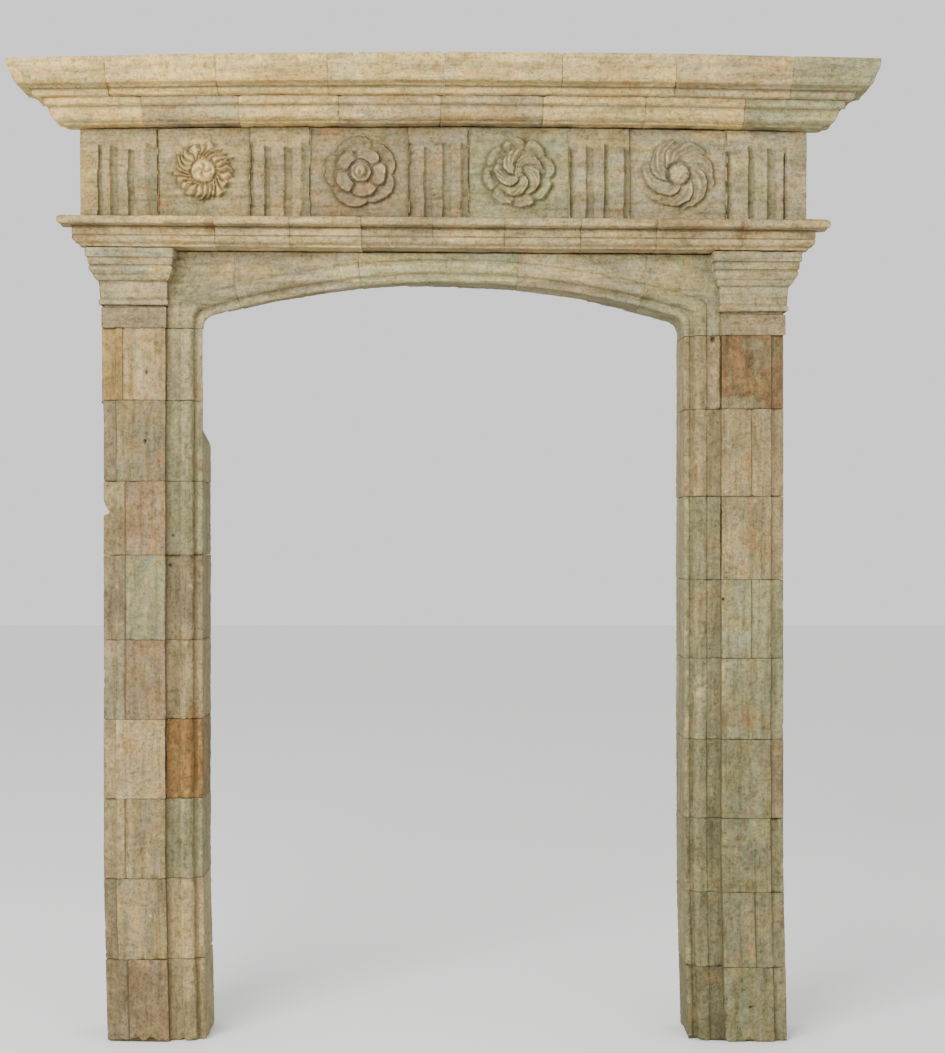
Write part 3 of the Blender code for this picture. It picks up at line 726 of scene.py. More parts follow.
JAMB_STAINS = (
    (-0.952, 2.05, 0.05, 0.02, "rosy", 0.35),
    (-1.00, 1.66, 0.055, 0.055, "rust", 0.50),
    (-1.02, 2.03, 0.03, 0.09, "ochre", 0.45),
    (-1.02, 2.17, 0.035, 0.11, "ochre", 0.55),
    (0.808, 1.82, 0.006, 0.09, "orange", 0.8),
    (0.862, 2.145, 0.020, 0.13, "rosy", 0.85), (0.94, 2.045, 0.09, 0.022, "green", 0.6),
    (0.99, 2.235, 0.045, 0.022, "green", 0.5), (1.00, 2.10, 0.05, 0.03, "ochre", 0.4),
    (1.03, 2.20, 0.06, 0.05, "olive", 0.35),
    (0.95, 1.05, 0.10, 0.05, "rust", 0.25),
    (-0.80, 1.00, 0.03, 0.10, "orange", 0.5),
    (-0.97, 0.18, 0.07, 0.06, "rust", 0.40),
    (-0.85, 0.35, 0.03, 0.10, "pale", 0.5),
    (0.905, 1.763, 0.006, 0.004, "mortar", 0.9),
    (0.997, 1.731, 0.008, 0.003, "mortar", 0.9),
    (-0.942, 0.403, 0.007, 0.003, "mortar", 0.9),
)

JAMB_HOLES = (
    (-0.952, 2.144, 0.0062, 0.012), (-0.955, 1.923, 0.0058, 0.012), (-0.869, 1.622, 0.0055, 0.010),
    (-0.878, 1.526, 0.0052, 0.010), (0.896, 1.418, 0.0055, 0.012), (0.973, 0.109, 0.0060, 0.012),
    (0.866, 2.252, 0.0085, 0.014),
)


def jamb_outline(side, part, joint):
    """Plan of a jamb stone, from the back of the reveal round the front to the outer side."""
    flat, fine = sizes().flat_step, sizes().fine_step
    recess = FACE_Y + RECESS_DEPTH
    strip = FACE_Y + STRIP_DEPTH
    slit = FACE_Y + SLIT_DEPTH
    profile = [(OPENING_HALF + offset, FACE_Y + depth) for offset, depth in architrave_profile()]
    corners = [(OPENING_HALF, WALL_Y), (OPENING_HALF, REVEAL_FRONT), *profile]
    steps = [0.014, 0.006] + [fine] * (len(profile) - 1)
    if part == "architrave":
        corners += [(ARRIS_HALF - 0.012, recess), (ARRIS_HALF - 0.004, recess - 0.004)]
        corners += [(ARRIS_HALF - JOINT, recess - 0.009), (ARRIS_HALF - JOINT, WALL_Y)]
        steps += [fine * 1.4, flat * 0.9, fine, fine]
        return mirrored(path_points(corners, steps), side)
    if part == "whole":
        cut = 0.004 if side > 0 else 0.0
        corners += [(ARRIS_HALF - 0.014, recess), (ARRIS_HALF - 0.006, recess - 0.003 + cut)]
        corners += [(ARRIS_HALF - 0.0015, recess - 0.010 + cut), (ARRIS_HALF, FACE_Y)]
        steps += [fine * 1.4, flat * 0.8, fine, fine, 0.003]
    else:
        corners = [(ARRIS_HALF, WALL_Y), (ARRIS_HALF, 0.04), (ARRIS_HALF, FACE_Y)]
        steps = [0.06, 0.003]
    if joint:
        corners += [(joint - 0.0026, FACE_Y), (joint - 0.0008, slit)]
        corners += [(joint + 0.0008, slit), (joint + 0.0026, FACE_Y)]
        steps += [flat, 0.0025, 0.001, 0.0025]
    corners += [(PILASTER_HALF, FACE_Y), (PILASTER_HALF + 0.003, strip - 0.003)]
    corners += [(PILASTER_HALF + 0.009, strip), (JAMB_HALF - 0.008, strip)]
    corners += [(JAMB_HALF, strip), (JAMB_HALF, strip + 0.012), (JAMB_HALF, WALL_Y)]
    steps += [flat, 0.0025, 0.003, flat, 0.002, 0.003, 0.012]
    return mirrored(path_points(corners, steps), side)


def mirrored(points, side):
    points = points.copy()
    points[:, 0] *= side
    return points


def jamb_lean(sheet):
    """The feet stand a little to the right of the shafts."""
    drop = unit(1 - sheet[..., 2] / FOOT_SHIFT_HEIGHT)
    sheet[..., 0] += FOOT_SHIFT * drop ** 1.3


def break_edges(sheet):
    """The notch in the outer edge of the left jamb, and the cut-back reveal in its upper part."""
    x, y, z = sheet[..., 0], sheet[..., 1], sheet[..., 2]
    band = unit((-x - (JAMB_HALF - EDGE_BAND)) / EDGE_BAND) * unit(1 - y / EDGE_BAND_DEPTH)
    bite = unit((NOTCH_TOP - z) / NOTCH_RISE) ** 1.5 * unit((z - NOTCH_FOOT) / NOTCH_LIP)
    sheet[..., 0] += band * (NOTCH_BITE * bite - UPPER_EDGE_SWELL * step_up(z, *UPPER_EDGE))
    inner = unit(1 - (-x - OPENING_HALF) / 0.03) * step_up(y, *REVEAL_CUT_DEPTHS)
    sheet[..., 0] -= inner * REVEAL_CUT * step_up(z, *REVEAL_CUT_HEIGHTS)


def break_foot(worn, sheet, floor, seed):
    """The lowest stones are broken along their front edge."""
    foot = unit(1 - (sheet[..., 2] - floor) / FOOT_BREAK_HEIGHT)
    ragged = unit(ripple(sheet, 0.03, seed + 3) + 0.15)
    worn[..., 2] += FOOT_BREAK * ragged * foot * (sheet[..., 1] < WALL_Y - 0.02)


def build_jamb_stone(word, side, number, part):
    node = f"{word}_architrave_stone_{number}" if part == "architrave" else f"{word}_jamb_stone_{number}"
    low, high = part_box(node)
    seed = number * SEED_STEP + (RIGHT_SEED if side > 0 else 0)
    seed += ARCHITRAVE_SEED if part == "architrave" else 0
    joint = PILASTER_JOINTS[word][number] if part != "architrave" else None
    outline = jamb_outline(side, part, joint)
    rows = joint_rows(low[2], high[2], sizes().flat_step * 1.15)
    sheet = np.empty((len(rows), len(outline), 3))
    sheet[..., :2] = outline[None]
    sheet[..., 2] = rows[:, None]
    plan = np.abs(sheet[..., 0])
    worn, dirt_and_shade, chips = weather(sheet, seed, open_columns=False, fine=1.35, hollow_shade=0.24)
    sink_holes(worn, dirt_and_shade, JAMB_HOLES)
    inner, middle, outer = JAMB_TONES[word][number]
    layers = flat_layers(sheet, middle, seed, dirt_and_shade, "jamb", 1.0)
    paint(layers, (plan < ARRIS_HALF - 0.002).astype(float), inner, seed + 5)
    paint(layers, (plan > (joint or PILASTER_HALF + 0.001)).astype(float), outer, seed + 9)
    # Painted shade: the recessed band between architrave and pilaster is darkened.
    recess = (plan > OPENING_HALF + ARCHITRAVE_WIDTH + 0.002) & (plan < ARRIS_HALF)
    layers["tone"] *= np.where(recess, 0.84, 1.0)[..., None]
    reveal = (plan < OPENING_HALF + 0.001) & (sheet[..., 1] > FACE_Y + BEAD_DEPTH + 0.012)
    paint(layers, np.where(reveal, 0.6, 0.0), "green")
    add_stains(layers, sheet, JAMB_STAINS, seed)
    layers["tone"] += (np.array(TONES["pale"]) - layers["tone"]) * (0.35 * chips)[..., None]
    if side < 0:
        break_edges(worn)
    jamb_lean(worn)
    if number == 1:
        break_foot(worn, sheet, low[2], seed)
    finish_ring(node, worn, layers)


def capital_levels(height):
    """Levels above the capital's bed, with how far it stands out there."""
    body = height - NECKING_HEIGHT
    mouldings = (
        (0.000, 0.20), (0.035, 0.26), (0.100, 0.23), (0.120, 0.13), (0.135, 0.16),
        (0.410, 0.24), (0.430, 0.36), (0.490, 0.52), (0.525, 0.54), (0.535, 0.60),
        (0.600, 0.76), (0.670, 0.80), (0.690, 0.73), (0.705, 0.84), (0.815, 0.86),
        (0.830, 0.985), (1.000, 1.00),
    )
    steps = [(0.0, 0.08), (NECKING_HEIGHT - 0.006, 0.08)]
    steps += [(NECKING_HEIGHT - 0.003, -0.07), (NECKING_HEIGHT - 0.001, -0.07)]
    steps += [(NECKING_HEIGHT + body * share, reach) for share, reach in mouldings]
    return [(level, reach * CAPITAL_REACH) for level, reach in steps]


def dense_levels(levels):
    """The same line of levels and reaches, with points close together."""
    line = even_points(levels, sizes().fine_step)
    return line[:, 0], line[:, 1]


# Painted shade lines under the mouldings, as shares of the height
CAPITAL_SHADE_LINES = (
    (0.283, 0.95), (0.375, 0.50), (0.455, 0.55), (0.585, 0.70), (0.665, 0.50), (0.775, 0.60), (0.875, 0.60),
)

CAPITAL_STAINS = (
    (-0.965, 2.40, 0.07, 0.05, "ochre", 0.30), (-0.90, 2.46, 0.05, 0.03, "pale", 0.5),
    (0.94, 2.37, 0.08, 0.03, "ochre", 0.35), (0.99, 2.45, 0.07, 0.04, "pale", 0.4),
    (0.90, 2.31, 0.05, 0.03, "green", 0.4), (0.97, 2.30, 0.08, 0.03, "pale", 0.3),
    (0.99, 2.42, 0.13, 0.09, "green", 0.40),
)


def build_capital(word, side, bed, height):
    levels, reaches = dense_levels(capital_levels(height))
    inner = FACE_Y + RECESS_DEPTH - JOINT
    turn = -CAPITAL_RETURN / CAPITAL_REACH
    corners = [(ARRIS_HALF, WALL_Y, 0, 0), (ARRIS_HALF, inner, 0, 0), (ARRIS_HALF, inner, turn, 0)]
    corners += [(ARRIS_HALF, FACE_Y, turn, -1), (JAMB_HALF, FACE_Y, 1, -1), (JAMB_HALF, WALL_Y, 1, 0)]
    plan = path_points(corners, CAPITAL_PLAN_STEPS)
    sheet = np.empty((len(levels), len(plan), 3))
    sheet[..., 0] = plan[None, :, 0] + plan[None, :, 2] * reaches[:, None]
    sheet[..., 1] = plan[None, :, 1] + plan[None, :, 3] * reaches[:, None]
    sheet[..., 0] *= side
    top = np.array([[STRING_BED(x) for x in row] for row in sheet[..., 0]])
    under = bed + JOINT
    sheet[..., 2] = under + (top - under) * (levels / height)[:, None]
    seed = CAPITAL_SEEDS[word]
    worn, dirt_and_shade, _ = weather(sheet, seed, open_columns=False, chip=0.7, fine=0.62, hollow_shade=1.2)
    # Painted shade: a dark line under each moulding.
    for level, strength in CAPITAL_SHADE_LINES:
        line = np.exp(-((levels / height - level) / CAPITAL_LINE_WIDTH) ** 2) * strength
        dirt_and_shade = unit(dirt_and_shade + line[:, None] * (0.7 + 0.6 * ripple(sheet, 0.02, seed + 41)))
    layers = flat_layers(sheet, "grey", seed, dirt_and_shade, "capital")
    neck = (levels < NECKING_HEIGHT - 0.003)[:, None] * np.ones(len(plan))
    paint(layers, neck, "taupe", seed + 3)
    add_stains(layers, sheet, CAPITAL_STAINS, seed)
    finish_ring(f"{word}_capital", worn, layers)


def arch_centre():
    x = OPENING_HALF - SHOULDER_RADIUS
    reach = ARCH_RADIUS - SHOULDER_RADIUS
    return max(LEFT_SHAFT, RIGHT_SHAFT) + SPRING_RISE - math.sqrt(reach * reach - x * x)


ARCH_CENTRE = arch_centre()


def shoulder(offset):
    """Centre, radius and end angle of the rounded corner, this far from the opening."""
    blend = min(offset / ARCHITRAVE_WIDTH, 1.0)
    corner = SHOULDER_RADIUS + (OUTER_SHOULDER_RADIUS - SHOULDER_RADIUS) * blend
    x = OPENING_HALF + offset - corner
    reach = ARCH_RADIUS + offset - corner
    rise = math.sqrt(reach * reach - x * x)
    return x, ARCH_CENTRE + rise, corner, math.atan2(rise, x)


def arch_point(station, offset):
    """A point on the line at this offset from the opening."""
    kind, value = station
    if kind == "jamb":
        return OPENING_HALF + offset, value
    if kind == "corner":
        x, z, corner, end = shoulder(offset)
        return x + corner * math.cos(end * value), z + corner * math.sin(end * value)
    reach = ARCH_RADIUS + offset
    lean = math.asin(value / ARCH_RADIUS)
    return reach * math.sin(lean), ARCH_CENTRE + reach * math.cos(lean)


def arch_outers(side, bed, start, end, springer):
    """Stations of an arch stone, each with the point above it under the string course."""
    edge = ARRIS_HALF - JOINT
    step = sizes().flat_step * 1.1
    cuts = []
    if springer:
        top = STRING_BED(side * edge) - JOINT
        height = arch_point(("corner", 0.0), ARCHITRAVE_WIDTH)[1]
        base = bed + JOINT
        for z in (0, 0.0012, 0.0028):
            cuts.append((("jamb", base + z), (edge, base + z)))
        for i in range(17):
            cuts.append((("corner", i / 16), (edge, height + (top - height) * (i / 16) ** 1.3)))
        start = ARCH_RADIUS * math.cos(shoulder(0.0)[3])
    values = [start + (end - start) * s for s in np.linspace(0, 1, max(3, round(abs(end - start) / step)))]
    if springer:
        values = values[1:]
    for value in values:
        station = ("arch", value)
        x = arch_point(station, ARCHITRAVE_WIDTH + 0.003)[0]
        cuts.append((station, (x, STRING_BED(side * x) - JOINT)))
    return cuts


ARCH_STAINS = (
    (-0.62, 2.47, 0.10, 0.03, "pale", 0.5), (-0.25, 2.50, 0.14, 0.02, "ochre", 0.35),
    (0.22, 2.50, 0.10, 0.02, "green", 0.4), (0.42, 2.46, 0.16, 0.03, "pale", 0.5),
    (-0.81, 2.43, 0.07, 0.12, "olive", 0.65), (0.72, 2.44, 0.05, 0.06, "pale", 0.45),
    (-0.72, 2.36, 0.10, 0.03, "green", 0.4),
)


def rebate(x, depth):
    """How far the soffit is cut back behind the moulding, more on the left than on the right."""
    start = FIRST_REBATE if x < REBATE_PLACES[0] else float(np.interp(x, REBATE_PLACES, REBATE_STARTS))
    return REBATE_DEPTH * min(1.0, max(0.0, (depth - start) / REBATE_RAMP))


def arch_row(side, station, outer, profile):
    """Points of one cut through the arch: along the soffit, over the moulding and up the spandrel."""
    row = []
    inner_x = arch_point(station, 0.0)[0]
    for depth in SOFFIT_DEPTHS:
        x, z = arch_point(station, rebate(side * inner_x, depth))
        row.append((side * x, FACE_Y + depth, z))
    for offset, depth in profile:
        x, z = arch_point(station, offset)
        row.append((side * x, FACE_Y + depth, z))
    x, _, z = row[-1]
    for k in range(1, SPANDREL_COLUMNS + 1):
        share = k / SPANDREL_COLUMNS
        row.append((x + (side * outer[0] - x) * share, FACE_Y + RECESS_DEPTH, z + (outer[1] - z) * share))
    return row


def doubled_end(values):
    """The sheet with its last column twice."""
    return np.concatenate((values, values[:, -1:]), axis=1)


def build_arch_stone(number, tone, side, bed, start, end, springer):
    profile = even_points(architrave_profile(), sizes().fine_step)
    cuts = arch_outers(side, bed, start, end, springer)
    sheet = np.array([arch_row(side, station, outer, profile) for station, outer in cuts])
    seed = SEEDS["arch"] + number * SEED_STEP
    worn, dirt_and_shade, _ = weather(sheet, seed, chip=0.8, fine=1.3, hollow_shade=0.14)
    # Painted light: near the crown the spandrel under the string course is lightened and its painted shade
    # lessened, to cancel the shade that falls there.
    crown = unit(1 - np.abs(sheet[..., 0]) / 0.55) * (sheet[..., 2] > 2.44)
    dirt_and_shade *= 1 - 0.6 * crown
    layers = flat_layers(sheet, tone, seed, dirt_and_shade, "arch")
    layers["tone"] *= 1 + 0.62 * step_up(crown, 0.0, 0.6)[..., None]
    soffit = np.arange(sheet.shape[1]) < len(SOFFIT_DEPTHS)
    paint(layers, np.where(soffit[None, :], 0.6, 0.0) * np.ones(sheet.shape[:2]), "green")
    add_stains(layers, sheet, ARCH_STAINS, seed)
    worn = doubled_end(worn)
    worn[:, (0, -1), 1] = WALL_Y
    layers.update({name: doubled_end(layers[name]) for name in SHEET_LAYERS})
    finish_ring(f"arch_stone_{number}", worn, layers)


def reaching(levels, reach):
    """Levels with what they stand out in metres, from shares of this reach."""
    return tuple((share, part * reach) for share, part in levels)


STRING_MOULDING_LEVELS = (
    (0.000, -0.12), (0.035, 0.12), (0.060, 0.10), (0.105, 0.22), (0.140, 0.58), (0.175, 0.80),
    (0.250, 0.97), (0.355, 1.0), (0.375, 0.86), (0.395, 1.0), (0.600, 1.0), (0.655, 0.80),
)
SLAB_LEVELS = ((0.668, 0.90), (0.715, 0.985), (0.770, 1.0), (0.870, 1.0), (0.940, 0.95), (1.000, 0.83))
STRING_LEVELS = reaching(STRING_MOULDING_LEVELS, STRING_MOULDING_REACH) + reaching(SLAB_LEVELS, SLAB_REACH)

LOWER_LEVELS = reaching((
    (0.000, 0.30), (0.040, 0.43), (0.090, 0.45), (0.115, 0.59), (0.160, 0.66), (0.235, 0.72),
    (0.415, 0.79), (0.650, 0.84), (0.700, 0.905), (0.740, 0.94), (0.880, 0.975), (1.000, 1.0),
), LOWER_CORNICE_REACH)

UPPER_LEVELS = reaching((
    (0.000, 0.63), (0.090, 0.66), (0.165, 0.670), (0.175, 0.677), (0.190, 0.72), (0.235, 0.776),
    (0.265, 0.865), (0.345, 0.90), (0.480, 0.92), (0.630, 0.955), (0.760, 0.99), (0.880, 1.0),
    (1.000, 0.997),
), CORNICE_REACH)

STRING_TONES = ("buff", "buff", "buff", "sand", "sand", "sand", "sand", "sand", "sand")
LOWER_TONES = ("peach", "buff", "peach", "buff", "sand", "pale", "pale", "green")
UPPER_TONES = ("peach", "peach", "peach", "pale", "pale", "pale", "buff", "green")

COURSE_STAINS = (
    (-1.01, 2.66, 0.05, 0.05, "rust", 0.55), (-0.74, 2.60, 0.018, 0.03, "orange", 0.7),
    (0.76, 2.60, 0.12, 0.05, "rust", 0.45), (0.945, 2.575, 0.02, 0.03, "rust", 0.8),
    (1.0, 2.575, 0.05, 0.010, "orange", 0.6), (0.10, 2.93, 0.16, 0.03, "ochre", 0.5),
    (0.62, 2.96, 0.08, 0.02, "orange", 0.35), (-0.35, 3.0, 0.1, 0.02, "ochre", 0.3),
    (-1.06, 3.05, 0.1, 0.02, "pale", 0.5), (0.35, 2.94, 0.05, 0.02, "pale", 0.5),
    (-1.14, 2.575, 0.09, 0.045, "rust", 0.42), (-0.86, 2.618, 0.13, 0.020, "peach", 0.6),
    (-0.86, 2.572, 0.12, 0.030, "pale", 0.35), (-0.37, 2.615, 0.11, 0.018, "pale", 0.5),
    (0.08, 2.570, 0.11, 0.030, "pale", 0.6), (0.55, 2.565, 0.11, 0.030, "pale", 0.45),
    (1.06, 2.560, 0.10, 0.030, "pale", 0.40), (0.54, 3.03, 0.17, 0.06, "ochre", 0.28),
    (1.20, 3.03, 0.14, 0.06, "olive", 0.25), (1.06, 2.95, 0.10, 0.04, "olive", 0.22),
)


def corner_plan(side, joint, step):
    """Plan of a stone that turns the corner: each place, and the way the mouldings stand out there."""
    plan = []
    for x in joint_rows(side * joint, FRIEZE_HALF, step):
        if x < FRIEZE_HALF - 0.012:
            fan = (x - side * joint) / (FRIEZE_HALF - side * joint)
            plan.append((side * x, FRIEZE_Y, side * fan, -1.0))
    for gap in (0.008, 0.004, 0.0015, 0.0):
        plan.append((side * (FRIEZE_HALF - gap), FRIEZE_Y, side * (1 - gap * 4), -1.0))
    for s in (0.008, 0.02, 0.05, *np.linspace(0.08, 0.96, 24), 0.99, 1.0):
        plan.append((side * FRIEZE_HALF, FRIEZE_Y + (RETURN_Y - FRIEZE_Y) * s, side * 1.0, s - 1.0))
    for s in (0.3, 0.7, 1.0):
        plan.append((side * (FRIEZE_HALF + (TAIL_HALF - FRIEZE_HALF) * s), RETURN_Y, side * (1 - s), 0.0))
    for s in (0.02, *np.linspace(0.06, 1, 18)):
        plan.append((side * TAIL_HALF, RETURN_Y + (WALL_Y - RETURN_Y) * s, 0.0, 0.0))
    return plan + [(joint + side * 0.03, WALL_Y, 0.0, 0.0), (joint, WALL_Y, 0.0, 0.0)]


def build_course_stone(node, levels, bottom, top, tone, seed, side, slot):
    """One stone of a moulded course; side is -1 or 1 where it turns the corner, and 0 between."""
    low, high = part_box(node)
    height = top(0) - bottom(0)
    heights, reaches = dense_levels([(share * height, reach) for share, reach in levels])
    shares = heights / height
    step = sizes().flat_step * 1.15
    if side:
        plan = corner_plan(side, high[0] if side < 0 else low[0], step)
    else:
        plan = [(x, FRIEZE_Y, 0.0, -1.0) for x in joint_rows(low[0], high[0], step)]
    plan = np.array(plan)
    sheet = np.empty((len(plan), len(shares), 3))
    sheet[..., 0] = plan[:, 0, None] + plan[:, 2, None] * reaches[None]
    sheet[..., 1] = plan[:, 1, None] + plan[:, 3, None] * reaches[None]
    under = np.array([[bottom(x) + JOINT for x in row] for row in sheet[..., 0]])
    over = np.array([[top(x) for x in row] for row in sheet[..., 0]])
    sheet[..., 2] = under + (over - under) * shares[None]
    worn, dirt_and_shade, _ = weather(sheet, seed, fine=0.72)
    top_edge = step_up(shares, 0.93, 1.0)[None, :] * np.exp(-(end_gap(sheet, 0) / CORNER_REACH) ** 2)
    worn[..., 2] -= TOP_CHIP * top_edge * np.clip(0.5 + 1.2 * ripple(sheet, 0.03, seed + 3), 0, 1.3)
    # The dark joints and patches and the painted shade are lessened on the lowest part of each course.
    dirt_and_shade *= 0.45 + 0.55 * step_up(shares, 0.10, 0.20)[None, :]
    layers = flat_layers(sheet, tone, seed, dirt_and_shade, slot.split("_")[0])
    add_stains(layers, sheet, COURSE_STAINS, seed)
    worn[..., 1] = np.clip(worn[..., 1], CAD_BOX[0][1] + BOX_GAP, WALL_Y)
    worn[..., 0] = np.clip(worn[..., 0], CAD_BOX[0][0] + BOX_GAP, CAD_BOX[1][0] - BOX_GAP)
    worn[..., 2] = np.minimum(worn[..., 2], CAD_BOX[1][2] - TOP_GAP)
    if side:
        worn[-2:, :, 1] = WALL_Y
        worn[-1, :, 0] = worn[0, 0, 0]
        layers.update({name: layers[name].swapaxes(0, 1) for name in SHEET_LAYERS})
        finish_ring(node, worn.swapaxes(0, 1), layers)
    else:
        bm, _ = sheet_block(worn, layers)
        close_behind(bm)
        finish_block(f"worn_{node}", bm, [node])


def build_course(name, levels, bottom, top, tones, slot):
    """Dress the stones of one moulded course, from left to right."""
    for number, tone in enumerate(tones, 1):
        side = -1 if number == 1 else int(number == len(tones))
        seed = SEEDS[name] + number * SEED_STEP
        build_course_stone(f"{name}_stone_{number}", levels, bottom, top, tone, seed, side, slot)


def vnoise(x, z, size, seed):
    return noise.noise((x / size + seed, seed * 2.3, z / size))


def bump_at(gap, width):
    return math.exp(-(gap / width) ** 2)


def boss_form(reach, angle, boss, curls):
    """A domed button whose lobes curl round its middle."""
    dome = math.sqrt(max(0.0, 1 - 0.72 * (reach / boss) ** 2))
    lobe = 0.5 + 0.5 * math.cos(curls * angle - reach / boss * 5.2)
    return dome * (0.66 + 0.34 * lobe ** 0.55)


def lobe_part(angle, count, phase):
    """How far this angle is across its lobe, from 0 to 1, of so many round the whole."""
    turn = angle * count / (2 * math.pi) + phase
    return turn - math.floor(turn)


def drop_off(value, limit, width):
    """1 inside the limit, falling to 0 over this width."""
    return min(1.0, max(0.0, (limit - value) / width))


def sunflower(reach, angle):
    """Many narrow wavy tongues round a curled button."""
    radius, boss = 0.097, 0.037
    if reach < boss:
        return 1.02 * boss_form(reach, angle, boss, 4)
    share = (reach - boss) / (radius - boss)
    turn = (angle + 0.34 * share + 0.10 * math.sin(share * 6 + angle * 3)) * 23 / (2 * math.pi)
    crest = abs(math.cos(math.pi * turn)) ** 0.9
    tip = 0.95 + 0.09 * math.sin(math.floor(turn + 0.5) * 2.4) - 0.14 * (1 - crest)
    body = 0.14 + (0.56 + 0.10 * math.sin(share * 4 + angle * 2)) * crest
    return body * drop_off(share, tip, 0.12) * (1 - 0.85 * bump_at(reach - boss - 0.0035, 0.0035))


def petal(reach, angle, count, phase, root, limit, dip, base, rim):
    """A ring of cupped petals with raised rims, cut apart by dark gaps."""
    part = lobe_part(angle - phase, count, 0.0)
    off = abs(2 * part - 1)
    edge = limit - dip * off ** 3
    if reach > edge:
        return 0.0
    share = max(0.0, (reach - root) / (edge - root))
    height = base + rim * share ** 2.2 + 0.10 * part
    height -= 0.10 * bump_at(part - 0.5, 0.10) * share
    gap = (1 - off) * math.pi / count * reach
    return height * (1 - 0.75 * bump_at(gap, 0.0042)) * min(1, (edge - reach) / 0.0035 + 0.25)


def rose(reach, angle):
    """Five large cupped petals behind five rounded ones, round a bud."""
    boss = 0.034
    if reach < boss:
        ring = 1 - 0.34 * bump_at(reach - 0.021 - 0.004 * math.sin(angle), 0.0035)
        return 0.98 * boss_form(reach, angle, boss, 1) * ring
    if reach < boss + 0.005:
        return 0.12
    inner = petal(reach, angle, 5, 0.56, 0.039, 0.082, 0.012, 0.42, 0.42)
    if inner > 0:
        return inner
    outer = petal(reach, angle, 5, 1.18, 0.078, 0.115, 0.014, 0.12, 0.52)
    return outer * min(1, max(0.25, (reach - 0.082) / 0.010))


def whorl(reach, angle):
    """Eight flat lobes round a wheel of five curling petals."""
    if reach < 0.017:
        return 0.80 * boss_form(reach, angle, 0.017, 3)
    share = (reach - 0.017) / 0.062
    part = lobe_part(angle + 1.25 * share, 5, 0.2)
    edge = 0.079 - 0.011 * (1 - math.sin(math.pi * part))
    if reach < edge:
        flute = 0.09 * math.cos(part * math.pi * 7) * min(1, share * 2)
        height = 0.34 + 0.46 * part ** 0.8 + flute + 0.10 * share
        return height * (1 - 0.7 * bump_at(part, 0.10)) * min(1, (edge - reach) / 0.004 + 0.25)
    part = lobe_part(angle, 8, 0.3)
    limit = 0.101 + 0.016 * math.sin(math.pi * part) ** 0.5
    height = 0.10 + 0.42 * min(1, max(0, (reach - 0.081) / 0.012))
    height = height + 0.12 * part - 0.05 * bump_at(part - 0.5, 0.2)
    return height * (1 - 0.7 * bump_at(min(part, 1 - part), 0.07)) * drop_off(reach, limit, 0.006)


def pinwheel(reach, angle):
    """Six fluted leaves that swirl round a smooth button."""
    boss, radius = 0.034, 0.116
    if reach < boss:
        return math.sqrt(max(0.0, 1 - 0.78 * (reach / boss) ** 2))
    share = (reach - boss) / (radius - boss)
    part = lobe_part(angle + 1.45 * share ** 1.4, 6, 0.35)
    limit = 0.78 + 0.22 * math.sin(math.pi * min(1, part * 1.1)) ** 0.6
    flute = 0.09 * math.cos(part * math.pi * 5) * min(1, share * 3)
    height = 0.20 + 0.42 * part + flute + 0.16 * bump_at(part - 0.93, 0.07)
    height *= (1 - 0.75 * bump_at(part, 0.07)) * drop_off(share, limit, 0.06)
    return height * (1 - 0.85 * bump_at(reach - boss - 0.0035, 0.004))


ROSETTES = ((sunflower, -0.7617), (rose, -0.2627), (whorl, 0.2395), (pinwheel, 0.7474))

# Middle of each triglyph, its half width, and its bars as distances from the middle
TRIGLYPH_CENTRES = (-1.003, -0.5204, -0.01594, 0.495, 0.9933)
TRIGLYPH_HALF = 0.096
TRIGLYPH_BARS = (
    ((-0.081, -0.055), (-0.030, 0.002), (0.018, 0.056)),
    ((-0.082, -0.047), (-0.031, 0.014), (0.040, 0.068)),
    ((-0.073, -0.046), (-0.022, 0.013), (0.042, 0.071)),
    ((-0.077, -0.043), (-0.016, 0.016), (0.029, 0.077)),
    ((-0.078, -0.025), (-0.009, 0.035), (0.064, 0.089)),
)
FRIEZE_TONES = ("sand", "sand", "taupe", "green", "grey", "grey")


def groove_form(x, z, head_z):
    """Depth of the triglyph cutting here, or None outside the triglyphs."""
    for centre, bars in zip(TRIGLYPH_CENTRES, TRIGLYPH_BARS):
        gap = x - centre + 0.0034 * vnoise(x, z, 0.045, centre * 11)
        if abs(gap) > TRIGLYPH_HALF:
            continue
        edges = [(-TRIGLYPH_HALF + 0.004, bars[0][0]), (bars[0][1], bars[1][0])]
        edges += [(bars[1][1], bars[2][0]), (bars[2][1], TRIGLYPH_HALF - 0.004)]
        for k, (low, high) in enumerate(edges):
            if low < gap < high:
                top = head_z - 0.009 * math.sin(centre * 40 + k * 2.1) - 0.35 * (gap - (low + high) / 2)
                if z > top:
                    return 0.0
                middle = (low + high) / 2
                valley = 1 - abs(gap - middle) / ((high - low) / 2)
                if k == 0:
                    valley = 1 - (gap - low) / (high - low)
                if k == 3:
                    valley = 1 - (high - gap) / (high - low)
                depth = GLYPH_DEPTH * math.sin(math.pi / 2 * min(1, 1.35 * valley))
                return min(depth, (top - z) * 0.9)
        return 0.0
    return None


def rosette_form(form, middle, x, z):
    """Height of a rosette above its panel here."""
    gap = x - middle
    if abs(gap) >= ROSETTE_REACH:
        return 0.0
    rise = z - FRIEZE_BED(middle) - ROSETTE_RISE
    reach = math.hypot(gap, rise)
    if reach >= ROSETTE_REACH:
        return 0.0
    wobble = 1 + 0.05 * vnoise(x, z, 0.035, middle * 9) + 0.03 * vnoise(x, z, 0.014, middle * 5)
    twist = 0.13 * vnoise(x, z, 0.045, middle * 7 + 3)
    worn = 1 - 0.30 * max(0.0, vnoise(x, z, 0.04, middle * 3 + 8)) ** 0.7
    return ROSETTE_RELIEF * worn * form(reach * wobble, math.atan2(rise, gap) + twist)


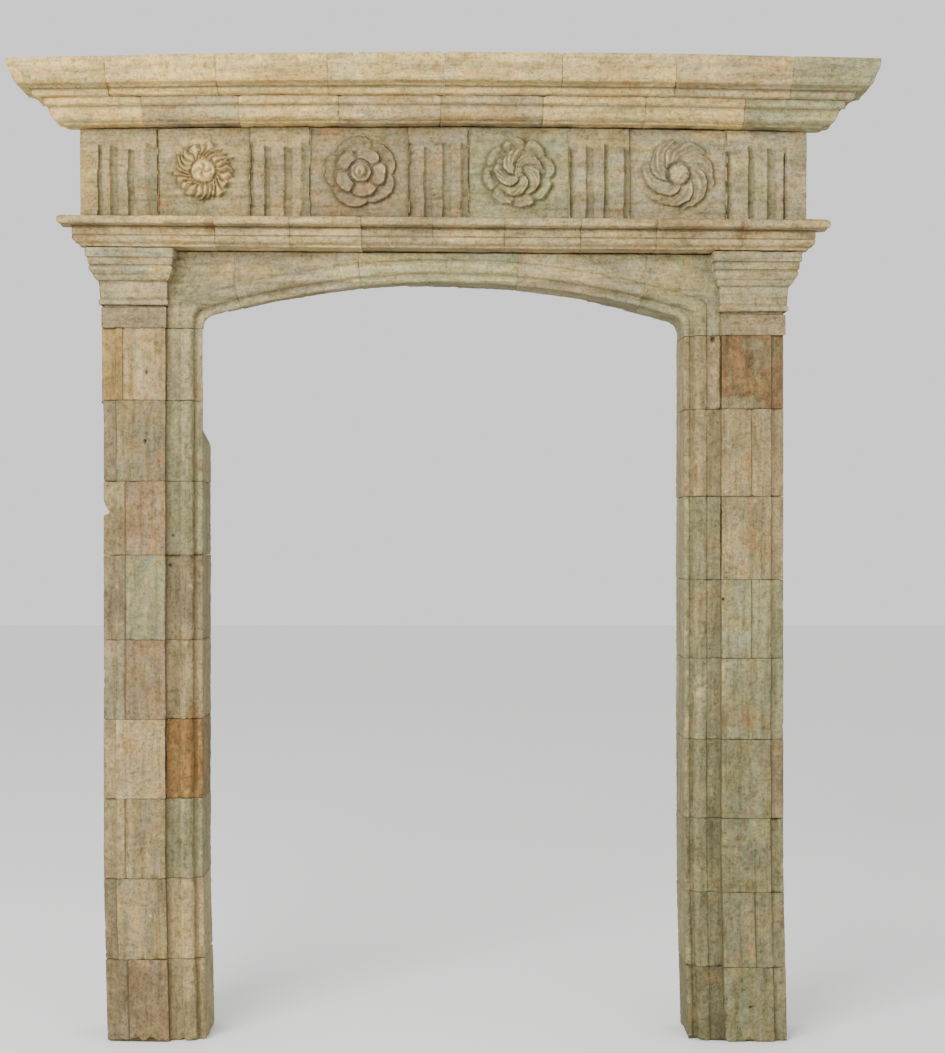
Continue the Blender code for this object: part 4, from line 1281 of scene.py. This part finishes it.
def frieze_form(x, z):
    """How far the frieze stands out from its plane here."""
    cut = groove_form(x, z, LOWER_BED(x) - TRIGLYPH_HEAD)
    if cut is not None:
        return -cut
    if abs(x) > abs(TRIGLYPH_CENTRES[0]) + TRIGLYPH_HALF - 0.01:
        return 0.0
    return -PANEL_SINK + sum(rosette_form(form, middle, x, z) for form, middle in ROSETTES)


FRIEZE_STAINS = (
    (-0.762, 2.778, 0.085, 0.085, "peach", 0.5), (-1.14, 2.74, 0.03, 0.14, "ochre", 0.7),
    (-0.762, 2.781, 0.11, 0.10, "peach", 0.55), (-0.99, 2.70, 0.05, 0.10, "green", 0.6),
    (-0.70, 2.85, 0.1, 0.05, "sand", 0.4), (0.50, 2.88, 0.10, 0.04, "ochre", 0.6),
    (0.99, 2.72, 0.06, 0.10, "green", 0.5), (-0.80, 2.66, 0.08, 0.05, "green", 0.5),
    (0.02, 2.72, 0.05, 0.08, "green", 0.5), (-0.52, 2.88, 0.10, 0.03, "pale", 0.5),
    (0.87, 2.90, 0.12, 0.03, "pale", 0.6), (0.30, 2.90, 0.10, 0.02, "ochre", 0.5),
    (-0.25, 2.90, 0.09, 0.025, "sand", 0.5),
)


def build_frieze_stone(number):
    node = f"frieze_stone_{number}"
    low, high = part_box(node)
    step = sizes().carving_step
    left, right = low[0], high[0]
    across = np.linspace(left, right, round((right - left) / step))
    outer = [*np.linspace(WALL_Y, -0.03, 26), -0.036, -0.041, -0.045]
    inward = outer if number == 1 else [WALL_Y, 0.17, 0.12, 0.08, 0.04, 0.01, -0.015, -0.032, -0.041, -0.046]
    outward = outer if number == 6 else [WALL_Y, 0.12, 0.02, -0.03, -0.041, -0.046]
    plan = [(left, y) for y in inward] + [(x, None) for x in across] + [(right, y) for y in reversed(outward)]
    count = round((high[2] - low[2]) / step)
    shares = np.concatenate(([0, 0.004, 0.010], np.linspace(0.02, 0.98, count), [0.990, 0.996, 1.0]))
    sheet = np.empty((len(shares), len(plan), 3))
    for i, (x, y) in enumerate(plan):
        under = FRIEZE_BED(x) + JOINT
        over = LOWER_BED(x)
        sheet[:, i, 0] = x
        sheet[:, i, 2] = under + (over - under) * shares
        sheet[:, i, 1] = [FRIEZE_Y - frieze_form(x, z) if y is None else y for z in sheet[:, i, 2]]
    seed = SEEDS["frieze"] + number * SEED_STEP
    worn, dirt_and_shade, _ = weather(sheet, seed, open_columns=False, chip=0.45, fine=0.62, hollow_shade=0.85, nick=0.15)
    depth = sheet[..., 1] - FRIEZE_Y
    layers = flat_layers(sheet, FRIEZE_TONES[number - 1], seed, dirt_and_shade, "frieze")
    grooves = step_up(depth, 0.0062, 0.011) * (sheet[..., 1] < 0)
    paint(layers, grooves * 0.75, "green")
    # The dark patches and the painted shade are lessened in the grooves.
    layers["dirt_and_shade"] *= 1 - 0.55 * grooves
    raised = step_up(-depth, 0.004, 0.016)
    paint(layers, raised * 0.5, "buff")
    # Painted highlight: the crests of the carving are lightened.
    crest = unit((worn - soften(worn, 0.008, 1))[..., 1] / -0.0016) * raised
    layers["tone"] *= 1 + 0.55 * crest[..., None]
    add_stains(layers, sheet, FRIEZE_STAINS, seed)
    finish_ring(node, worn, layers)


class JambStones(bpy.types.Operator):
    """Dress the stones of both jambs"""

    bl_idname = "surround.jamb_stones"
    bl_label = "Jamb stones"

    def execute(self, context):
        for word, side in (("left", -1), ("right", 1)):
            for number in range(1, 10):
                if number in SPLIT_COURSES[word]:
                    build_jamb_stone(word, side, number, "pilaster")
                    build_jamb_stone(word, side, number, "architrave")
                else:
                    build_jamb_stone(word, side, number, "whole")
        return {"FINISHED"}


class Capitals(bpy.types.Operator):
    """Dress the two capitals"""

    bl_idname = "surround.capitals"
    bl_label = "Capitals"

    def execute(self, context):
        build_capital("left", -1, LEFT_SHAFT, LEFT_CAPITAL_HEIGHT)
        build_capital("right", 1, RIGHT_SHAFT, RIGHT_CAPITAL_HEIGHT)
        return {"FINISHED"}


class ArchStones(bpy.types.Operator):
    """Dress the five stones of the arch"""

    bl_idname = "surround.arch_stones"
    bl_label = "Arch stones"

    def execute(self, context):
        half = JOINT / 2
        joints = [share * OPENING_HALF for share in ARCH_JOINTS]
        build_arch_stone(1, "grey", -1, LEFT_SHAFT, 0, -joints[0] + half, True)
        for number, (start, end) in enumerate(zip(joints, joints[1:]), 2):
            tone = "green" if number == 3 else "grey"
            build_arch_stone(number, tone, 1, 0, start + half, end - half, False)
        build_arch_stone(5, "green", 1, RIGHT_SHAFT, 0, joints[-1] + half, True)
        return {"FINISHED"}


class StringCourse(bpy.types.Operator):
    """Dress the string course over the arch"""

    bl_idname = "surround.string_course"
    bl_label = "String course"

    def execute(self, context):
        build_course("string", STRING_LEVELS, STRING_BED, FRIEZE_BED, STRING_TONES, "string_stone")
        return {"FINISHED"}


class FriezeStones(bpy.types.Operator):
    """Carve the frieze with its triglyphs and rosettes"""

    bl_idname = "surround.frieze_stones"
    bl_label = "Frieze stones"

    def execute(self, context):
        for number in range(1, 7):
            build_frieze_stone(number)
        return {"FINISHED"}


class LowerCornice(bpy.types.Operator):
    """Dress the lower course of the cornice"""

    bl_idname = "surround.lower_cornice"
    bl_label = "Lower cornice"

    def execute(self, context):
        build_course("lower_cornice", LOWER_LEVELS, LOWER_BED, UPPER_BED, LOWER_TONES, "cornice_stone")
        return {"FINISHED"}


class UpperCornice(bpy.types.Operator):
    """Dress the upper course of the cornice"""

    bl_idname = "surround.upper_cornice"
    bl_label = "Upper cornice"

    def execute(self, context):
        build_course("upper_cornice", UPPER_LEVELS, UPPER_BED, TOP_BED, UPPER_TONES, "cornice_stone")
        return {"FINISHED"}


class Stage(bpy.types.Operator):
    """Lay the pale floor, hang soft lights and set the camera"""

    bl_idname = "surround.stage"
    bl_label = "Stage"

    def execute(self, context):
        build_floor()
        build_lights()
        build_camera()
        return {"FINISHED"}


def build_floor():
    bm = bmesh.new()
    bmesh.ops.create_grid(bm, x_segments=4, y_segments=4, size=sizes().floor_size / 2)
    bmesh.ops.translate(bm, verts=bm.verts, vec=(0, 0, -FLOOR_DROP))
    mesh = bpy.data.meshes.new("floor")
    bm.to_mesh(mesh)
    bm.free()
    floor = bpy.data.objects.new("floor", mesh)
    bpy.context.scene.collection.objects.link(floor)
    material = bpy.data.materials.new("pale_floor")
    material.use_nodes = True
    shader = material.node_tree.nodes["Principled BSDF"]
    shader.inputs["Base Color"].default_value = (*colours().floor, 1.0)
    shader.inputs["Roughness"].default_value = 0.95
    mesh.materials.append(material)


def build_lights():
    world = bpy.data.worlds.new("soft_daylight")
    world.use_nodes = True
    background = world.node_tree.nodes["Background"]
    background.inputs["Color"].default_value = (1.0, 1.0, 1.0, 1.0)
    background.inputs["Strength"].default_value = WORLD_STRENGTH
    bpy.context.scene.world = world
    for name, place, aim, size, power in LIGHTS:
        lamp = bpy.data.lights.new(name, "AREA")
        lamp.size = size
        lamp.energy = power
        light = bpy.data.objects.new(name, lamp)
        light.location = place
        light.rotation_euler = (Vector(aim) - Vector(place)).to_track_quat("-Z", "Y").to_euler()
        bpy.context.scene.collection.objects.link(light)


def build_camera():
    larger = max(PHOTO_WIDTH, PHOTO_HEIGHT)
    lens = bpy.data.cameras.new("photo_camera")
    lens.sensor_width = SENSOR
    lens.lens = PIXELS_PER_SLOPE / larger * SENSOR
    lens.shift_x = CENTRE_LEFT / larger
    lens.shift_y = CENTRE_LOW / larger
    camera = bpy.data.objects.new("photo_camera", lens)
    camera.location = (0.0, FACE_Y - VIEW_DISTANCE, EYE_HEIGHT)
    camera.rotation_euler = (math.radians(90), 0, 0)
    bpy.context.scene.collection.objects.link(camera)
    bpy.context.scene.camera = camera


class SurroundPanel(bpy.types.Panel):
    """Sizes, colours and steps of the door surround"""

    bl_label = "Door surround"
    bl_idname = "VIEW3D_PT_surround"
    bl_space_type = "VIEW_3D"
    bl_region_type = "UI"
    bl_category = "Surround"

    def draw(self, context):
        layout = self.layout
        for step in OPERATORS:
            layout.operator(step.bl_idname)
        for group in (context.scene.surround_sizes, context.scene.surround_colours):
            for name in group.__annotations__:
                layout.prop(group, name)


OPERATORS = (
    JambStones, Capitals, ArchStones, StringCourse, FriezeStones, LowerCornice, UpperCornice, Stage,
)
CLASSES = (SurroundSizes, SurroundColours, *OPERATORS, SurroundPanel)


def register():
    for item in CLASSES:
        bpy.utils.register_class(item)
    bpy.types.Scene.surround_sizes = PointerProperty(type=SurroundSizes)
    bpy.types.Scene.surround_colours = PointerProperty(type=SurroundColours)


def unregister():
    del bpy.types.Scene.surround_colours
    del bpy.types.Scene.surround_sizes
    for item in reversed(CLASSES):
        bpy.utils.unregister_class(item)


def main():
    register()
    bpy.ops.surround.stage()
    bpy.ops.surround.jamb_stones()
    bpy.ops.surround.capitals()
    bpy.ops.surround.arch_stones()
    bpy.ops.surround.string_course()
    bpy.ops.surround.frieze_stones()
    bpy.ops.surround.lower_cornice()
    bpy.ops.surround.upper_cornice()


if __name__ == "__main__":
    main()
